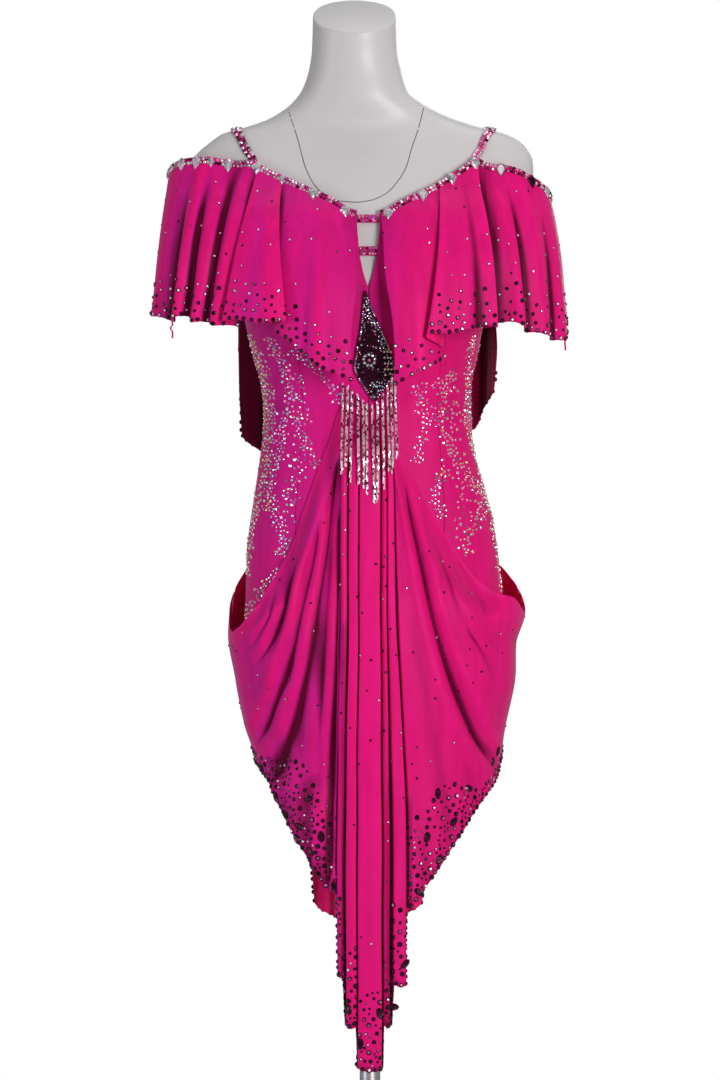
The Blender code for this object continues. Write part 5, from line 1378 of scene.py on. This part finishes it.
# Lines on the sides and back: half-width in mm, stones to a mm of length, then degrees and height in mm.
ROUND_TRAILS = [
    (4, 0.8, [(-93, 1150), (-96, 1110), (-92, 1070), (-98, 1030), (-94, 980), (-99, 930), (-96, 880)]),
    (4, 0.7, [(-118, 1120), (-108, 1085), (-112, 1050), (-124, 1015), (-132, 975), (-126, 935)]),
    (5, 0.7, [(-108, 1060), (-100, 1020), (-106, 985), (-112, 950)]),
    (4, 0.8, [(93, 1150), (96, 1110), (92, 1070), (97, 1030), (94, 980), (98, 930), (96, 880)]),
    (4, 0.7, [(118, 1120), (109, 1085), (112, 1050), (123, 1015), (131, 975), (126, 935)]),
    (5, 0.7, [(108, 1060), (101, 1020), (105, 985), (112, 950)]),
    (5, 0.8, [(140, 1060), (146, 1030), (156, 1008), (166, 1024)]),
    (5, 0.8, [(-140, 1060), (-147, 1030), (-157, 1008), (-167, 1024)]),
    (4, 0.8, [(150, 1000), (143, 985), (138, 962), (132, 940)]),
    (4, 0.8, [(-150, 1000), (-143, 985), (-138, 962), (-132, 940)]),
]
CRYSTAL_RADII, CRYSTAL_SHARES = np.array([1.4, 1.75, 2.1, 2.5]) * MM, [0.25, 0.4, 0.25, 0.1]
# Tints to draw from.
GOLDEN, LILAC = [0.0, 0.12, 0.35, 0.47, 0.5, 0.56, 0.95], [0.0, 0.3, 0.62, 0.74, 0.78, 0.87, 1.0]
ROOM, ROOM_CELL, FINE_TO = 0.3 * MM, 8 * MM, 1.5 * MM  # smaller stones than this have fewer facets
TRAIL_SPREAD, TRAIL_MOST = 0.55, 1.6  # how far stones stray, as shares of a trail's half-width
FRONT_DENSITY, ROUND_DENSITY = 2.8, 1.9
ROUND_REACH, OUTSIDE = 130, 30 * MM  # mm from the middle to the sides' cloth, and a place well clear of it
GOLDEN_TO, GOLDEN_FROM = 272, 440  # the pixels between which the stones are lilac
draw = np.random.default_rng(71)


class Room:
    """Keeps the stones' places, so that no two overlap."""

    def __init__(self):
        self.cells = {}

    def free(self, point, radius, apart):
        cell = tuple(int(math.floor(c / ROOM_CELL)) for c in point)
        for step in np.ndindex(3, 3, 3):
            for other, far in self.cells.get(tuple(c + s - 1 for c, s in zip(cell, step)), ()):
                if (point - other).length < radius + far + apart:
                    return False
        self.cells.setdefault(cell, []).append((point, radius))
        return True


def scattered(line, half, density):
    """Random places along a line of points, spread to each side of it."""
    line = np.array(line, float)
    lengths = np.linalg.norm(np.diff(line, axis=0), axis=1)
    along = np.concatenate([[0], np.cumsum(lengths)])
    for at in draw.uniform(0, along[-1], int(density * along[-1])):
        k = min(np.searchsorted(along, at, side="right") - 1, len(lengths) - 1)
        way = (line[k + 1] - line[k]) / lengths[k]
        spread = np.clip(draw.normal(0, TRAIL_SPREAD), -TRAIL_MOST, TRAIL_MOST) * half
        yield line[k] + way * (at - along[k]) + spread * np.array([-way[1], way[0]])


stone_room = Room()
trail_stones = []


def set_crystal(found, tints):
    radius = float(draw.choice(CRYSTAL_RADII, p=CRYSTAL_SHARES))
    if found and stone_room.free(Vector(found[0]), radius, ROOM):
        cut = ROUND if radius > FINE_TO else ROUND_FINE
        trail_stones.append((cut, stone_spot(found[0], found[1], radius, draw.uniform(0, 1)), draw.choice(tints)))


for half, density, line in FRONT_TRAILS:
    for px, py in scattered(line, half, FRONT_DENSITY * density):
        tints = LILAC if GOLDEN_TO < px < GOLDEN_FROM else GOLDEN
        set_crystal(lands_on(CAMERA_AT, sight(px, py), "bodice"), tints)
for half, density, line in ROUND_TRAILS:
    flat = [(math.radians(angle) * ROUND_REACH, height) for angle, height in line]
    for round_it, height in scattered(flat, half, ROUND_DENSITY * density):
        angle, height = round_it / ROUND_REACH, height * MM
        near, far = surface(FIGURE, np.array([angle]), np.array([height]), np.array([OUTSIDE, 0.0]))
        set_crystal(lands_on(Vector(near), (Vector(far) - Vector(near)).normalized(), "bodice"), GOLDEN + LILAC)
set_stones("bodice_crystals", trail_stones, clear_crystal)


# Hem stones. Dark round stones lie close along every hem and thin out above it, with a few among them whose tables are
# painted near white, a painted highlight, and with large dark ovals near the skirt's edge. Single stones dot the
# flounces and the drape.
# Each hem: attempts, band in mm, least gap in mm at the edge, how fast the gap grows, radii in mm.
HEMS = {
    "flounce_right_fall": (2600, 50, 0.7, 0.12, [2.2, 2.7, 3.2]),
    "flounce_left_fall": (2600, 50, 0.7, 0.12, [2.2, 2.7, 3.2]),
    "cape_back_fall": (2200, 50, 0.7, 0.12, [2.0, 2.5, 3.0]),
    "skirt_front_drape": (13000, 100, 0.0, 0.028, [1.8, 2.4, 3.1, 3.7]),
    "skirt_back_drape": (8000, 100, 0.0, 0.028, [1.8, 2.4, 3.1, 3.7]),
}
EDGE_ROW = 3 * MM  # stones nearer the edge than this are the larger ones
CAPE_SHARE = 0.455  # the cape's own side edges are bare
SIDE_BAND = 0.15  # the skirt's band narrows to this share of itself at the sides
SIDE_AT, SIDE_OVER = 140 * MM, 60 * MM
LOWEST, EDGE_RISE, RISE_POWER = 2.2, 2.6 * MM, 1.35  # how the stones rise from the edge
OVAL_ROOM, OVAL_RADIUS = 4.2 * MM, 4.6 * MM
# Stones with bright tables are dark ones whose tables are painted near white, a painted highlight. The values are their
# least share, how it grows up the band, and their size.
BRIGHT_TABLE_LEAST, BRIGHT_TABLE_GROWS, BRIGHT_TABLE_SIZE = 0.025, 0.22, 0.8
OVAL_TINTS, BRIGHT_TABLE_RIM_TINTS, HEM_DARK_TINTS = [0.0, 0.3, 0.62], [0.3, 0.5], [0.0, 0.2, 0.3, 0.5]
EDGE_STEPS, RISE_STEPS, RISE_MOST = 500, 40, 0.5  # where the hem's and the cloth's own lengths are measured
# Large stones by pixel, with their turn in degrees; then those behind, by share along the hem and rise in mm.
FRONT_OVALS = [
    (307.6, 798.5, 90), (299, 826, 60), (321, 837, 5), (310, 851, 35), (334.5, 887, 10), (438, 793, 0),
    (469, 788, 80), (454.5, 821, -40), (427, 838, -10), (439, 860, -20), (419, 892, 60), (405.6, 964, -50),
    (393, 1007, 85), (380, 1014, 15), (262, 769, 20), (276, 797, 30), (286, 816, 35), (297, 839, 30),
    (493, 762, -20), (498, 751, -5), (481, 805, -35), (432, 884, -40), (360, 1044, 0), (348, 1010, 10),
]
BACK_OVALS = [
    (0.12, 16, 30), (0.19, 34, 60), (0.26, 12, 20), (0.31, 44, 80), (0.37, 20, 10), (0.43, 50, 0), (0.47, 14, 40),
    (0.53, 36, -20), (0.58, 12, -60), (0.63, 46, 85), (0.70, 18, -30), (0.77, 38, -70), (0.85, 14, -20),
]
draw = np.random.default_rng(83)
hem_dark, flounce_dark, hem_bright_table_stones, hem_ovals = [], [], [], []


def set_oval(found, turn):
    if found and stone_room.free(Vector(found[0]), OVAL_ROOM, 0):
        spot = stone_spot(found[0], found[1], OVAL_RADIUS, math.radians(turn))
        hem_ovals.append((NAVETTE, spot, draw.choice(OVAL_TINTS)))


for px, py, turn in FRONT_OVALS:
    set_oval(lands_on(CAMERA_AT, sight(px, py), "skirt"), turn)
for name, (attempts, band, gap, growth, radii) in HEMS.items():
    place = cloths[name][1]
    spread = np.linspace(0, 1, EDGE_STEPS)
    edge = place(spread, np.zeros(EDGE_STEPS))
    along = np.concatenate([[0], np.cumsum(np.linalg.norm(np.diff(edge, axis=0), axis=1))])
    picked = np.interp(draw.uniform(0, along[-1], attempts), along, spread)
    rises = (LOWEST + (band - LOWEST) * draw.random(attempts) ** RISE_POWER) * MM
    rises[:attempts // 3] = EDGE_RISE
    if name.startswith("skirt"):
        at_side = abs(np.interp(picked, spread, edge[:, 0]))
        rises = 2 * MM + (rises - 2 * MM) * (SIDE_BAND + (1 - SIDE_BAND) * ease((SIDE_AT - at_side) / SIDE_OVER))
    if name == "skirt_back_drape":
        ovals = np.array(BACK_OVALS)
        picked = np.concatenate([np.interp(ovals[:, 0] * along[-1], along, spread), picked])
        rises = np.concatenate([ovals[:, 1] * MM, rises])
    tall = np.linspace(0, RISE_MOST, RISE_STEPS)
    mesh_u, mesh_v = np.meshgrid(picked, tall, indexing="ij")
    lines = place(mesh_u.ravel(), mesh_v.ravel()).reshape(len(picked), RISE_STEPS, 3)
    heights = np.concatenate([np.zeros((len(picked), 1)), np.cumsum(
        np.linalg.norm(np.diff(lines, axis=1), axis=2), axis=1)], axis=1)
    highs = np.array([np.interp(rise, line, tall) for rise, line in zip(rises, heights)])
    points, outs = skin_at(place, picked, highs, THIN)
    for k, (point, out, rise) in enumerate(zip(points, outs, rises)):
        if name == "cape_back_fall" and abs(picked[k] - 0.5) > CAPE_SHARE:
            continue
        if name == "skirt_back_drape" and k < len(BACK_OVALS):
            set_oval((Vector(point), Vector(out)), BACK_OVALS[k][2])
            continue
        radius = float(draw.choice(radii[2:] if rise < EDGE_ROW else radii)) * MM
        clear = draw.random() < BRIGHT_TABLE_LEAST + BRIGHT_TABLE_GROWS * rise / (band * MM) * (not name.startswith("skirt"))
        if stone_room.free(Vector(point), radius, (gap + growth * rise / MM) * MM):
            spot = stone_spot(point, out, radius * (BRIGHT_TABLE_SIZE if clear else 1), draw.uniform(0, 1))
            if clear:
                hem_bright_table_stones.append((ROUND, spot, draw.choice(BRIGHT_TABLE_RIM_TINTS)))
            else:
                rows = hem_dark if name.startswith("skirt") else flounce_dark
                rows.append((ROUND_DARK, spot, draw.choice(HEM_DARK_TINTS)))

# Single stones: the least gap between them in mm, how many are tried and the lowest share of the fall.
DOTS = {"flounce_right_fall": (26, 90, 0.2), "flounce_left_fall": (26, 90, 0.2), "cape_back_fall": (26, 90, 0.2),
        "skirt_front_drape": (30, 220, 0.12), "skirt_back_drape": (30, 150, 0.12)}
DOT_SIZES, DOT_TINT, DOT_HIGHEST = [1.5, 1.9], 0.3, 0.9
SKIRT_BRIGHT_TABLES, FLOUNCE_BRIGHT_TABLES = 0.25, 0.7  # the share of them whose tables are painted near white, a painted highlight
for name, (gap, attempts, lowest) in DOTS.items():
    place = cloths[name][1]
    points, outs = skin_at(place, draw.random(attempts), draw.uniform(lowest, DOT_HIGHEST, attempts), THIN)
    for point, out in zip(points, outs):
        radius = float(draw.choice(DOT_SIZES)) * MM
        if stone_room.free(Vector(point), radius, gap / 2 * MM):
            clear = draw.random() < (SKIRT_BRIGHT_TABLES if "skirt" in name else FLOUNCE_BRIGHT_TABLES)
            spot = stone_spot(point, out, radius, draw.uniform(0, 1))
            (hem_bright_table_stones if clear else hem_dark).append((ROUND if clear else ROUND_DARK, spot, DOT_TINT))
set_stones("hem_dark_stones", hem_dark, dark_crystal,
           glints=(0.0, 0.0, 0.0, 0.3, 0.3, 0.3, 0.5, 0.62, 0.62, 0.62, 0.8, 0.8, 1.0))
set_stones("flounce_dark_stones", flounce_dark, dark_crystal, glints=(0.0, 0.3, 0.3, 0.62, 0.62, 0.8, 0.9, 1.0))
set_stones("hem_ovals", hem_ovals, large_dark_crystal, glints=(0.0, 0.0, 0.0, 0.3, 0.3, 0.62, 0.62, 0.8), painted_sparkle_facets=True)
# Dark stones with maroon rims and tables painted near white, a painted highlight.
set_stones("hem_bright_stones", hem_bright_table_stones, dark_crystal, glints=(0.9, 1.0, 1.0))
